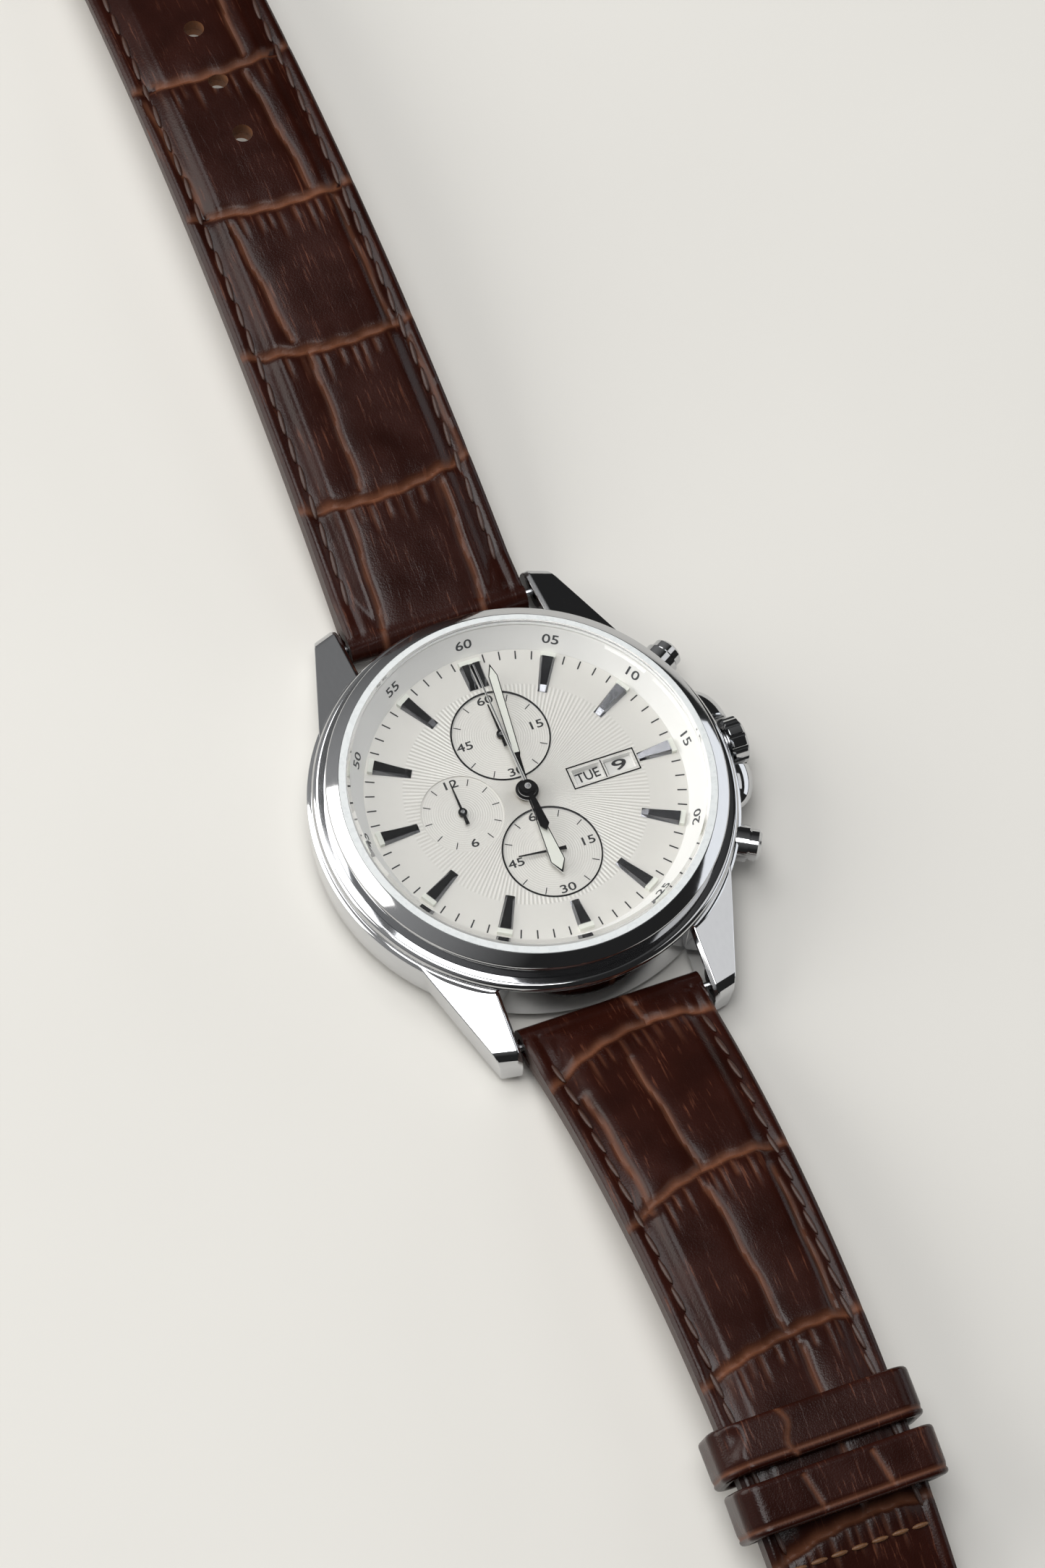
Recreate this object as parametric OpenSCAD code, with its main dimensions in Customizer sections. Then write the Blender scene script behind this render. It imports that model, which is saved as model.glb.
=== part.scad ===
// Chronograph wristwatch on a padded leather strap, laid open with its case back on a table.
// +X points at the crown, +Y at twelve o'clock, +Z up through the dial. Millimetres.

/* [Case] */
// Diameter of the case band at its widest line
band_d = 43.4; // [42.8:0.2:46]
// Height of the widest line above the table
band_wide_z = 6.5; // [6.1:0.1:6.8]
// How far the band's flank leans in from its widest line to its lower edge
flank_lean = 0.6; // [0.2:0.1:1.4]
// Diameter of the rounded bead under the bezel
bead_d = 42.6; // [42:0.1:43]
// Diameter of the cavity that takes the movement and the dial
cavity_d = 35.2; // [34.8:0.1:35.6]
// Diameter of the thread that takes the case back
thread_d = 35.8; // [35.7:0.1:36.4]
// Length of that thread
thread_len = 1.2; // [0.9:0.1:1.3]
// Width of the case back's rim, past its thread
back_rim = 1; // [0.8:0.1:1.4]
// Height of the case back under the band
back_h = 1.5; // [1.3:0.1:1.8]
// Thickness of the case back's floor
back_floor = 0.9; // [0.7:0.1:1.1]
// Wrench notches round the case back
back_notches = 6; // [4:1:8]

/* [Lugs] */
// How far the lugs' tips stand out past the band
lug_out = 4; // [3.7:0.1:4.8]
// Width of a lug at its tip
lug_tip_w = 2.7; // [2.3:0.1:3.2]
// Angle from the crown axis where a lug's outer edge leaves the band
lug_root_angle = 38.5; // [37:0.5:42]
// Height of a lug's sloped top near its tip
lug_tip_z = 5.2; // [4.9:0.1:5.8]
// Height of a lug's underside at its tip
lug_foot_z = 0.7; // [0.4:0.1:1]
// Width of the polished chamfers on a lug
lug_chamfer = 0.8; // [0.4:0.1:1]
// Radius of the lug's end, seen from the side
lug_round = 1.8; // [1.4:0.1:2]
// Distance of a spring bar from the lug tips
bar_inset = 2.2; // [2:0.1:2.6]
// Height of the spring bars
bar_z = 3.2; // [3:0.1:3.5]
// Diameter of a spring bar
bar_d = 1.5; // [1.3:0.1:1.8]
// Diameter of a spring bar's sprung tips
bar_tip_d = 0.8; // [0.7:0.05:1]
// Depth of the lug holes that take the tips
bar_tip_len = 0.9; // [0.6:0.1:1.2]

/* [Bezel and crystal] */
// Diameter of the bezel
bezel_d = 40.2; // [39.8:0.1:40.6]
// Height of the bezel
bezel_h = 2.95; // [2.75:0.05:3.1]
// Slope of the bezel's cone in degrees
bezel_slope = 35; // [33:1:38]
// Radius of the bezel's outer edge
bezel_round = 0.3; // [0.2:0.05:0.4]
// Diameter of the crystal
crystal_d = 36.2; // [36:0.1:36.8]
// Thickness of the crystal
crystal_t = 1.6; // [1.4:0.1:1.8]
// Space between the dial and the crystal
crystal_gap = 2.3; // [2.2:0.1:2.6]
// How far the crystal stands above the bezel
crystal_proud = 0.75; // [0.5:0.05:0.9]
// Wall of the crystal gasket
gasket_wall = 0.75; // [0.5:0.05:0.9]

/* [Dial] */
// Height of the dial's face above the table
dial_z = 7.8; // [7.7:0.05:7.9]
// Thickness of the dial
dial_t = 0.4; // [0.3:0.05:0.5]
// Inner diameter of the flange ring at the dial
flange_d = 32.4; // [32.2:0.1:32.8]
// Distance of the sub-dials from the centre
subdial_offset = 6.85; // [6.6:0.05:7]
// Diameter of the sub-dials at twelve and six
subdial_d = 10.1; // [9.6:0.1:10.4]
// Diameter of the hour counter at nine
hour_counter_d = 8.4; // [8:0.1:8.8]
// Depth of the sub-dials
subdial_depth = 0.12; // [0.08:0.02:0.16]
// Radius of the hour markers' inner ends
marker_in_r = 11.55; // [11.3:0.05:12]
// Radius of the hour markers' outer ends
marker_out_r = 15.4; // [15:0.1:15.5]
// Width of a marker at its inner end
marker_in_w = 0.95; // [0.7:0.05:1.1]
// Width of a marker at its outer end
marker_out_w = 1.5; // [1.2:0.05:1.7]
// Height of a marker
marker_h = 0.6; // [0.4:0.05:0.7]
// Length of the lume block on a marker's outer end
lume_len = 0.5; // [0.3:0.05:0.6]
// Width of the calendar frame
calendar_w = 7.2; // [7:0.05:7.3]
// Height of the calendar frame
calendar_h = 2.5; // [2.4:0.05:2.6]
// Distance of the calendar frame's middle from the centre
calendar_x = 8.3; // [8.25:0.05:8.35]
// Bar of the calendar frame round and between its windows
calendar_bar = 0.4; // [0.35:0.05:0.45]

/* [Hands] */
// Length of the hour hand
hour_len = 9.7; // [9:0.1:10.4]
// Length of the minute hand
minute_len = 14.3; // [13.5:0.1:15]
// Length of the chronograph seconds hand
sweep_len = 14.5; // [13.5:0.1:15.4]
// Length of its counterweight
sweep_tail = 5.1; // [4.4:0.1:6]
// Length of the sub-dial hands
counter_len = 3.5; // [3:0.1:3.7]
// Length of their tails
counter_tail = 1.4; // [1:0.1:1.8]
// Thickness of the hands
hand_t = 0.16; // [0.12:0.01:0.2]
// Height of the sub-dial hands above the dial
counter_lift = 0.3; // [0.25:0.01:0.34]
// Height of the hour hand above the dial
hour_lift = 0.66; // [0.62:0.01:0.7]
// Height of the minute hand above the dial
minute_lift = 1.02; // [0.98:0.01:1.06]
// Height of the chronograph seconds hand above the dial
sweep_lift = 1.38; // [1.34:0.01:1.42]
// Minute hand's angle from twelve as it lies
minute_angle = 6.6; // [0:0.1:12]
// Running seconds hand's angle from twelve as it lies
seconds_angle = 277; // [0:1:359]

/* [Movement] */
// Diameter of the movement
movement_d = 30; // [29.8:0.1:30.6]
// Thickness of the main plate
plate_t = 3.4; // [3.2:0.1:3.5]
// Thickness of the train bridge
bridge_t = 0.8; // [0.6:0.1:0.9]
// Thickness of the circuit board
board_t = 0.3; // [0.2:0.05:0.4]
// Diameter of the battery
battery_d = 9.5; // [9:0.1:9.8]
// Height of the battery
battery_h = 2.1; // [1.8:0.1:2.3]
// Module of the motion works' teeth
gear_module = 0.12; // [0.11:0.005:0.13]
// Radius of the chronograph seconds arbor
arbor_r = 0.22; // [0.18:0.01:0.24]
// Wall of the nested pipes round it
pipe_wall = 0.22; // [0.18:0.01:0.24]
// Inner radius of the date disc
date_in_r = 8.75; // [8.72:0.01:8.85]
// Outer radius of the date disc
date_out_r = 12.2; // [12:0.05:12.4]
// Radius of the day disc
day_r = 5.6; // [5.5:0.05:5.7]
// Thickness of the calendar discs
disc_t = 0.2; // [0.15:0.01:0.22]

/* [Crown and pushers] */
// Height of the crown and the pushers
crown_z = 5; // [4.9:0.05:5.2]
// Diameter of the crown
crown_d = 5; // [4.6:0.1:5.6]
// Length of the crown
crown_len = 2; // [1.9:0.1:2.8]
// Gap between the crown and the widest part of the case
crown_gap = 0.2; // [0.15:0.05:0.5]
// Flutes round the crown
crown_flutes = 12; // [10:1:14]
// Diameter of the crown tube
tube_d = 2.8; // [2.6:0.1:3]
// Diameter of the stem
stem_d = 1; // [0.8:0.05:1.1]
// Angle of the pushers from the crown
pusher_angle = 29.5; // [29:0.5:31]
// Diameter of a pusher's cap
pusher_d = 3.2; // [3:0.05:3.4]
// Wall of a pusher's collar
collar_wall = 0.22; // [0.2:0.01:0.3]
// How far a collar stands out of the band
collar_out = 0.9; // [0.7:0.05:1.2]
// How far a pusher's cap stands out of its collar
pusher_out = 1.3; // [1.2:0.05:1.6]
// Travel of a pusher
pusher_travel = 1; // [0.6:0.1:1]
// Diameter of a pusher's shaft
shaft_d = 1.2; // [1.1:0.05:1.3]

/* [Strap] */
// Width of the strap at the lugs
strap_w = 19.2; // [18.6:0.2:20]
// Width of the strap at its ends
strap_end_w = 16.8; // [16.2:0.1:17.4]
// Gap between the strap and each lug
strap_gap = 0.6; // [0.4:0.1:0.8]
// Thickness of the strap where it rolls round the spring bar
strap_root_t = 3.5; // [3.2:0.1:3.7]
// Thickness of the long piece at the top of its arch
tail_mid_t = 2.6; // [2.4:0.1:3]
// Thickness of the buckle piece at the top of its arch
strap_mid_t = 3; // [2.8:0.1:3.4]
// Thickness of the long piece at its tip
tail_tip_t = 1.8; // [1.6:0.1:2.2]
// How far the stitched margins lie below the padded middle
margin_drop = 0.7; // [0.4:0.1:0.8]
// Width of a stitched margin
margin_w = 2.4; // [1.8:0.1:3]
// Thickness of the lining leather
lining_t = 1; // [0.8:0.1:1.1]
// Distance of the long piece's tip from the centre
tail_reach = 140; // [136:1:146]
// Distance of the top of the long piece's arch from the centre
tail_peak_y = 76; // [72:1:80]
// Height of the top of the long piece's arch
tail_rise = 12.5; // [11:0.2:14]
// Distance of the buckle bar from the centre
buckle_reach = 93.5; // [92.5:0.5:98]
// Distance of the top of the buckle piece's arch from the centre
buckle_peak_y = 55; // [53:1:58]
// Height of the top of the buckle piece's arch
buckle_rise = 12.1; // [11.4:0.2:13]
// Diameter of the holes
hole_d = 2.1; // [1.8:0.1:2.4]
// Distance between the holes
hole_pitch = 7; // [6:0.2:7]
// Distance of the first hole from the centre
hole_first = 79; // [76:1:82]
// Number of holes
hole_count = 7; // [5:1:7]

/* [Keepers and buckle] */
// Width of a keeper along the strap
keeper_w = 5; // [4:0.1:5.2]
// Thickness of a keeper's leather
keeper_t = 1.3; // [1:0.1:1.5]
// Room in a keeper for the long piece's tip
keeper_room = 1.9; // [1.9:0.1:2.4]
// Gap between a keeper and the strap
keeper_fit = 0.3; // [0.25:0.05:0.4]
// Distance of the fixed keeper's middle from the centre
fixed_keeper_y = 78.3; // [78.1:0.2:79.1]
// Distance of the free keeper's middle from the centre
free_keeper_y = 72.4; // [71.6:0.2:72.6]
// Diameter of the buckle bar
buckle_bar_d = 1.5; // [1.3:0.1:1.6]
// Thickness of the strap where it rolls round the buckle bar
strap_fold_t = 3.2; // [3:0.1:3.4]
// Gap between the strap and each buckle arm
buckle_gap = 0.5; // [0.4:0.05:0.8]
// Width of the buckle's arms
buckle_arm = 1.9; // [1.6:0.1:2.4]
// Width of the buckle's end rail
buckle_rail = 2.3; // [2:0.1:2.8]
// Distance of the rail's far side from the buckle bar
buckle_len = 11.5; // [11:0.2:13]
// How far the arms reach back past the bar
buckle_heel = 2.2; // [1.8:0.1:2.6]
// Height of the buckle at the top of its arch
buckle_h = 3.1; // [3:0.1:3.5]
// Radius of that arch
buckle_arch_r = 30; // [28:1:40]
// Width of the tongue
tongue_w = 1.8; // [1.5:0.1:2]
// Thickness of the tongue
tongue_t = 0.9; // [0.7:0.1:1]
// Length of the strap's slot for the tongue, from the buckle bar
tongue_slot_len = 4.5; // [4:0.1:5]

/* [Fits] */
// Radial clearance of shafts and pins that turn or slide
slip = 0.05; // [0.03:0.01:0.08]
// Gap between pieces that seat on each other
seat = 0.02; // [0.01:0.01:0.03]
// Gap between a leather upper and its lining
glue = 0.04; // [0.02:0.01:0.05]

/* [Hidden] */
$fn = 72;
arc_fn = 360;
hull_fn = 32;

// Heights, from the table up
thread_z = back_h + thread_len;
dial_low_z = dial_z - dial_t;
plate_low_z = dial_low_z - plate_t;
bridge_low_z = plate_low_z - bridge_t;
board_low_z = bridge_low_z - board_t;
crystal_z = dial_z + crystal_gap;
bezel_top_z = crystal_z + crystal_t - crystal_proud;
bezel_z = bezel_top_z - bezel_h;
gasket_z = crystal_z - 0.6;

// Radii, from the middle out
band_r = band_d / 2;
low_r = band_r - flank_lean;
cavity_r = cavity_d / 2;
back_r = thread_d / 2 + back_rim;
bezel_r = bezel_d / 2;
crystal_r = crystal_d / 2;
bezel_bore_r = crystal_r + gasket_wall;
bezel_lip_r = crystal_r + slip;
movement_r = movement_d / 2;
gasket_groove = 0.4;
flank_angle = atan2(flank_lean, band_wide_z - back_h);

// Band's brow: the small bevel over its widest line, where the lug tops start
brow = 0.45;
brow_h = 0.25;
brow_z = band_wide_z + brow_h;
bead_round = (bezel_z - brow_z) / 2;
bead_x = bead_d / 2 - bead_round;

// Lugs
lug_in_x = strap_w / 2 + strap_gap;
lug_tip_y = band_r + lug_out;
lug_tip_slant = 0.8;
lug_root = (band_r - 0.3) * [cos(lug_root_angle), sin(lug_root_angle)];
lug_outer_tip = [lug_in_x + lug_tip_w, lug_tip_y - lug_tip_slant];
lug_slope_y = sqrt((band_r - brow) * (band_r - brow) - lug_in_x * lug_in_x);
lug_top_z = brow_z - 0.05;
lug_low_z = back_h + 0.05;
bar_y = lug_tip_y - bar_inset;

// Crown, stem and pushers
crown_x = max(band_r, bead_d / 2) + crown_gap;
crown_hollow = crown_len / 2;
tube_out_x = crown_x + crown_hollow - 0.3;
tube_r = tube_d / 2;
stem_in_x = 9;
stem_square = 0.68 * stem_d;
pinion_x = stem_in_x + 1.6;
pinion_len = 1.3;
pinion_r = 0.75;
pusher_r = pusher_d / 2;
collar_bore_r = pusher_r + slip;
collar_r = collar_bore_r + collar_wall;
collar_end = band_r + collar_out;
collar_floor = cavity_r + 1.6;
pusher_under = collar_end - 0.45;
pusher_end = collar_end + pusher_out;
shaft_in_x = 16;

// Motion works: the cannon pinion drives the minute wheel, whose pinion drives the hour wheel
cannon_teeth = 10;
minute_wheel_teeth = 30;
minute_pinion_teeth = 8;
hour_wheel_teeth = 32;
gear_distance = gear_module * (cannon_teeth + minute_wheel_teeth) / 2;
gear_angle = 45;
cannon_bore_r = arbor_r + slip;
cannon_r = cannon_bore_r + pipe_wall;
hour_bore_r = cannon_r + slip;
hour_pipe_r = hour_bore_r + pipe_wall;
works_z = dial_low_z - 0.85;
works_t = 0.25;
hour_wheel_z = works_z + works_t + 0.1;
counter_arbor_r = 0.2;
counter_hand_t = hand_t - 0.04;
hour_angle = 180 + minute_angle / 12;

// Calendar discs: the day disc turns on its own stud under the date disc
date_z = dial_low_z - disc_t - 0.05;
day_z = date_z - disc_t - 0.15;
day_x = calendar_x - calendar_w / 4 + 0.5;
day_y = 0.9 - day_r;
window_w = (calendar_w - 3 * calendar_bar) / 2;
window_h = calendar_h - 2 * calendar_bar;

// Strap arches: circles through the root, the top of the arch and the end
table_gap = 0.1;
buckle_bar_z = strap_fold_t / 2 + table_gap;
tail_top = circle_through([bar_y, bar_z + strap_root_t / 2], [tail_peak_y, tail_rise],
    [tail_reach, tail_tip_t + table_gap]);
tail_low = circle_through([bar_y, bar_z - strap_root_t / 2], [tail_peak_y, tail_rise - tail_mid_t],
    [tail_reach, table_gap]);
buckle_top = circle_through([bar_y, bar_z + strap_root_t / 2], [buckle_peak_y, buckle_rise],
    [buckle_reach, buckle_bar_z + strap_fold_t / 2]);
buckle_low = circle_through([bar_y, bar_z - strap_root_t / 2], [buckle_peak_y, buckle_rise - strap_mid_t],
    [buckle_reach, buckle_bar_z - strap_fold_t / 2]);
tail_margin = circle_through([bar_y, bar_z + strap_root_t / 2 - margin_drop],
    [tail_peak_y, tail_rise - margin_drop], [tail_reach, tail_tip_t + table_gap]);
buckle_margin = circle_through([bar_y, bar_z + strap_root_t / 2 - margin_drop],
    [buckle_peak_y, buckle_rise - margin_drop], [buckle_reach, buckle_bar_z + strap_fold_t / 2]);
pad_step = 0.25;
pad_end = 14;
roll_over = 0.05;
strap_start = strap_root_t / 2 + 0.3;
fold_start = strap_fold_t / 2 + 0.3;
tongue_ring_r = buckle_bar_d / 2 + slip + 0.6;
tongue_slot_w = tongue_w + 0.8;
buckle_in_w = strap_end_w + 2 * buckle_gap;
buckle_out_w = buckle_in_w + 2 * buckle_arm;
keeper_round = 0.9;

// Circle through three points, as [y, z, radius]
function circle_through(a, b, c) =
    let (d = 2 * (a.x * (b.y - c.y) + b.x * (c.y - a.y) + c.x * (a.y - b.y)),
        x = ((a * a) * (b.y - c.y) + (b * b) * (c.y - a.y) + (c * c) * (a.y - b.y)) / d,
        y = ((a * a) * (c.x - b.x) + (b * b) * (a.x - c.x) + (c * c) * (b.x - a.x)) / d)
    [x, y, norm(a - [x, y])];

// Height of a circle's upper side at a distance from the watch's centre
function arch_z(circle, y) = circle[1] + sqrt(circle[2] * circle[2] - (y - circle[0]) * (y - circle[0]));

// Half-width of the strap at a distance from the centre
function strap_half_w(y, reach) = (strap_w + (strap_end_w - strap_w) * (y - bar_y) / (reach - bar_y)) / 2;

// Turns children to an angle clockwise from twelve
module clock(angle) {
    rotate([0, 0, -angle]) children();
}

// Lays children's Z axis along a radius at crown height, at an angle from the crown
module radial(angle) {
    rotate([0, 0, angle]) translate([0, 0, crown_z]) rotate([0, 90, 0]) children();
}

// Stands a flat outline of (y, z) points up and gives it a width along X
module side_extrude(width) {
    rotate([90, 0, 90]) linear_extrude(width, center = true) children();
}

// Round bar along X
module cross_bar(y, z, r, length) {
    translate([0, y, z]) rotate([0, 90, 0]) cylinder(r = r, h = length, center = true);
}

// Turns a flat outline of (radius, z) points round Z
module turned() {
    rotate_extrude() children();
}

module ring(outer, inner, height) {
    difference() {
        cylinder(r = outer, h = height);
        translate([0, 0, -1]) cylinder(r = inner, h = height + 2);
    }
}

// Rectangle with rounded corners, round its own middle
module round_rect(w, h, r) {
    square([w - 2 * r, h], center = true);
    square([w, h - 2 * r], center = true);
    for (sx = [-1, 1], sy = [-1, 1]) translate([sx * (w / 2 - r), sy * (h / 2 - r)]) circle(r);
}

// Outline of a spur gear with straight-flanked teeth, a tooth centred on +Y
module gear_outline(teeth) {
    pitch_r = gear_module * teeth / 2;
    root_r = pitch_r - 1.3 * gear_module;
    tip_r = pitch_r + 0.9 * gear_module;
    step = 360 / teeth;
    polygon([for (i = [0:teeth - 1], p = [[-0.3, root_r], [-0.1, tip_r], [0.1, tip_r], [0.3, root_r]])
        let (a = 90 + (i + p[0]) * step) p[1] * [cos(a), sin(a)]]);
}

// Case

module band_outline() {
    polygon([[cavity_r, thread_z], [thread_d / 2, thread_z], [thread_d / 2, back_h], [low_r, back_h],
        [band_r, band_wide_z], [band_r - brow, brow_z], [bead_x, brow_z], [bead_x, bezel_z],
        [cavity_r, bezel_z]]);
    translate([bead_x, brow_z + bead_round]) circle(bead_round);
}

// Lug whose flat top falls towards its tip and its outer edge, with a rounded end
module lug() {
    edge = lug_outer_tip - lug_root;
    slope = atan2(lug_top_z - lug_tip_z, lug_tip_y - lug_chamfer - lug_slope_y);
    lean = atan2((lug_slope_y - lug_root.y) * tan(slope), lug_root.x - lug_in_x + 0.1);
    fall = [tan(lean), tan(slope)];
    end_y = lug_tip_y - lug_round;
    end_z = lug_top_z + 0.05 - (lug_round + (end_y - lug_slope_y) * sin(slope)) / cos(slope);
    end_steps = 8;
    difference() {
        intersection() {
            linear_extrude(lug_top_z)
                polygon([[lug_in_x - 0.2, bar_y / 2], [lug_in_x - 0.2, lug_tip_y], lug_outer_tip, lug_root,
                    0.8 * lug_root]);
            side_extrude(2 * band_d)
                polygon(concat([[bar_y / 2, lug_low_z], [bar_y / 2, lug_top_z + 1],
                    [lug_slope_y - 4, lug_top_z + 1], [lug_slope_y, lug_top_z + 0.05]],
                    [for (i = [0:end_steps]) let (a = (90 - slope) * (1 - i / end_steps))
                        [end_y + lug_round * cos(a), end_z + lug_round * sin(a)]],
                    [[lug_tip_y, lug_foot_z + lug_chamfer], [lug_tip_y - lug_chamfer, lug_foot_z],
                    [bar_y, lug_foot_z], [low_r - 1, lug_low_z]]));
        }
        translate([lug_root.x, lug_root.y, band_wide_z]) rotate([0, 0, atan2(edge.y, edge.x)])
            rotate([flank_angle, 0, 0]) translate([-10, -10, -15]) cube([40, 10, 20]);
        translate([lug_in_x, lug_slope_y, lug_top_z])
            rotate([0, atan(norm(fall)), atan2(fall.y, fall.x)])
            translate([-30, -30, 0]) cube([60, 60, 10]);
        translate([lug_in_x, lug_slope_y, lug_top_z])
            rotate([-slope, 0, 0]) rotate([0, 45, 0])
            cube([lug_chamfer, 40, lug_chamfer], center = true);
    }
}

// Rounded shoulder beside the crown
module crown_guard() {
    near_y = crown_d / 2 + 0.3;
    crest_r = 0.8;
    round_r = 2.2;
    intersection() {
        translate([0, 0, back_h + 0.8]) linear_extrude(band_wide_z - back_h - 1) hull() {
            translate([crown_x + 0.65, near_y + crest_r]) circle(crest_r, $fn = hull_fn);
            translate([band_r - 2, near_y + 0.3]) circle(0.3, $fn = hull_fn);
            translate([band_r - 1.2, near_y + 4.6]) circle(0.4, $fn = hull_fn);
        }
        translate([crown_x + 1.45 - round_r, 0, crown_z - 0.4]) rotate([-90, 0, 0])
            cylinder(r = round_r, h = band_r);
    }
}

// Room between the lugs for the strap's rolled ends
module strap_gaps() {
    for (sy = [0, 1]) mirror([0, sy, 0]) intersection() {
        ring(band_d, low_r - 0.1, brow_z + 0.03);
        translate([-lug_in_x, 0, -1]) cube([2 * lug_in_x, band_d, band_d]);
    }
}

module bar_holes() {
    for (sy = [-1, 1])
        cross_bar(sy * bar_y, bar_z, bar_tip_d / 2 + slip, 2 * (lug_in_x + bar_tip_len + slip));
}

module case_middle() {
    color("silver") difference() {
        union() {
            turned() band_outline();
            for (sx = [0, 1], sy = [0, 1]) mirror([sx, 0, 0]) mirror([0, sy, 0]) lug();
            for (sy = [0, 1]) mirror([0, sy, 0]) crown_guard();
        }
        translate([0, 0, thread_z]) cylinder(r = cavity_r, h = bezel_z);
        cylinder(r = thread_d / 2, h = thread_z);
        strap_gaps();
        bar_holes();
        radial(0) cylinder(r = tube_r + seat, h = band_d);
        for (a = [-pusher_angle, pusher_angle]) radial(a) cylinder(r = collar_r + seat, h = band_d);
    }
}

module case_back() {
    r = back_r;
    edge = 0.3;
    boss_r = thread_d / 2 - seat;
    boss_in_r = boss_r - 1.2;
    top_z = back_h - seat;
    groove_z = back_h - gasket_groove;
    color("lightgray") difference() {
        turned()
            polygon([[0, 0], [r - edge, 0], [r, edge], [r, top_z], [r - 0.3, top_z], [r - 0.3, groove_z],
                [r - 0.8, groove_z], [r - 0.8, top_z], [boss_r, top_z], [boss_r, thread_z - seat],
                [boss_in_r, thread_z - seat], [boss_in_r, back_floor], [0, back_floor]]);
        for (i = [0:back_notches - 1]) rotate([0, 0, i * 360 / back_notches + 90])
            translate([r, 0, 0]) cube([2.4, 2.2, 0.9], center = true);
    }
}

module case_back_gasket() {
    color("dimgray") translate([0, 0, back_h - gasket_groove + seat])
        ring(back_r - 0.3 - seat, back_r - 0.8 + seat, gasket_groove - 2 * seat);
}

module bezel() {
    edge_x = bezel_r - bezel_round;
    edge_z = bezel_top_z - (bezel_round + (edge_x - bezel_bore_r) * sin(bezel_slope)) / cos(bezel_slope);
    edge_steps = 8;
    color("silver") turned()
        polygon(concat([[bezel_lip_r, bezel_z + seat], [bezel_r, bezel_z + seat]],
            [for (i = [0:edge_steps]) let (a = (90 - bezel_slope) * i / edge_steps)
                [edge_x + bezel_round * cos(a), edge_z + bezel_round * sin(a)]],
            [[bezel_bore_r, bezel_top_z], [bezel_bore_r, gasket_z], [bezel_lip_r, gasket_z]]));
}

module crystal() {
    edge = 0.35;
    color("white", 0.3) {
        translate([0, 0, crystal_z]) cylinder(r = crystal_r, h = crystal_t - edge);
        translate([0, 0, crystal_z + crystal_t - edge])
            cylinder(r1 = crystal_r, r2 = crystal_r - edge, h = edge);
    }
}

module crystal_gasket() {
    color("whitesmoke") translate([0, 0, gasket_z + seat])
        ring(bezel_bore_r - seat, crystal_r + seat, bezel_top_z - gasket_z);
}

module flange_ring() {
    color("white") turned()
        polygon([[flange_d / 2, dial_z + seat], [cavity_r - slip, dial_z + seat],
            [cavity_r - slip, bezel_z + 2 * seat],
            [bezel_lip_r - slip, bezel_z + 2 * seat], [bezel_lip_r - slip, crystal_z - seat],
            [crystal_r - 0.2, crystal_z - seat], [crystal_r - 0.2, crystal_z - 0.3]]);
}

module crown_tube() {
    color("silver") radial(0) translate([0, 0, cavity_r + 0.2])
        ring(tube_r, stem_d / 2 + slip, tube_out_x - cavity_r - 0.2);
}

module pusher_collars() {
    color("silver") for (a = [-pusher_angle, pusher_angle]) radial(a) difference() {
        translate([0, 0, cavity_r + 0.2]) cylinder(r = collar_r, h = collar_end - cavity_r - 0.2);
        translate([0, 0, collar_floor]) cylinder(r = collar_bore_r, h = band_r);
        cylinder(r = shaft_d / 2 + slip, h = band_d);
        translate([0, 0, cavity_r + 0.6]) cylinder(r = shaft_d / 2 + 0.4, h = 0.5);
    }
}

module pusher_seals() {
    color("dimgray") for (a = [-pusher_angle, pusher_angle]) radial(a)
        translate([0, 0, cavity_r + 0.6 + seat])
            ring(shaft_d / 2 + 0.4 - seat, shaft_d / 2 + slip, 0.5 - 2 * seat);
}

module spring_bars() {
    color("silver") for (sy = [-1, 1]) {
        cross_bar(sy * bar_y, bar_z, bar_d / 2, strap_w - 0.4);
        cross_bar(sy * bar_y, bar_z, bar_tip_d / 2, 2 * (lug_in_x + bar_tip_len));
    }
}

// Dial

module counter_places() {
    translate([0, subdial_offset, 0]) children();
    translate([-subdial_offset, 0, 0]) children();
    translate([0, -subdial_offset, 0]) children();
}

module calendar_windows(height) {
    for (s = [-1, 1]) translate([calendar_x + s * (window_w + calendar_bar) / 2, 0, height / 2])
        cube([window_w, window_h, height], center = true);
}

module dial() {
    color("ivory") difference() {
        translate([0, 0, dial_low_z]) cylinder(r = cavity_r - 0.15, h = dial_t);
        for (sy = [-1, 1]) translate([0, sy * subdial_offset, dial_z - subdial_depth])
            cylinder(r = subdial_d / 2, h = 1);
        translate([-subdial_offset, 0, dial_z - subdial_depth]) cylinder(r = hour_counter_d / 2, h = 1);
        translate([0, 0, dial_low_z - 1]) {
            cylinder(r = hour_pipe_r + 0.15, h = 2 + dial_t);
            counter_places() cylinder(r = counter_arbor_r + 0.15, h = 2 + dial_t);
            calendar_windows(2 + dial_t);
        }
    }
}

module subdial_rings() {
    color("gray") for (sy = [-1, 1]) translate([0, sy * subdial_offset, dial_z - subdial_depth + seat])
        ring(subdial_d / 2 - seat, subdial_d / 2 - 0.16, subdial_depth + 0.06);
}

// Marker body, pointing at twelve, whose top falls towards the middle of the dial
module marker(in_r, out_r, in_w, out_w) {
    intersection() {
        translate([0, 0, dial_z + seat]) linear_extrude(marker_h)
            polygon([[-in_w / 2, in_r], [in_w / 2, in_r], [out_w / 2, out_r], [-out_w / 2, out_r]]);
        side_extrude(10)
            polygon([[in_r, dial_z], [in_r, dial_z + marker_h / 6], [in_r + 0.7, dial_z + marker_h / 2],
                [out_r, dial_z + marker_h + seat], [out_r, dial_z]]);
    }
}

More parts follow.
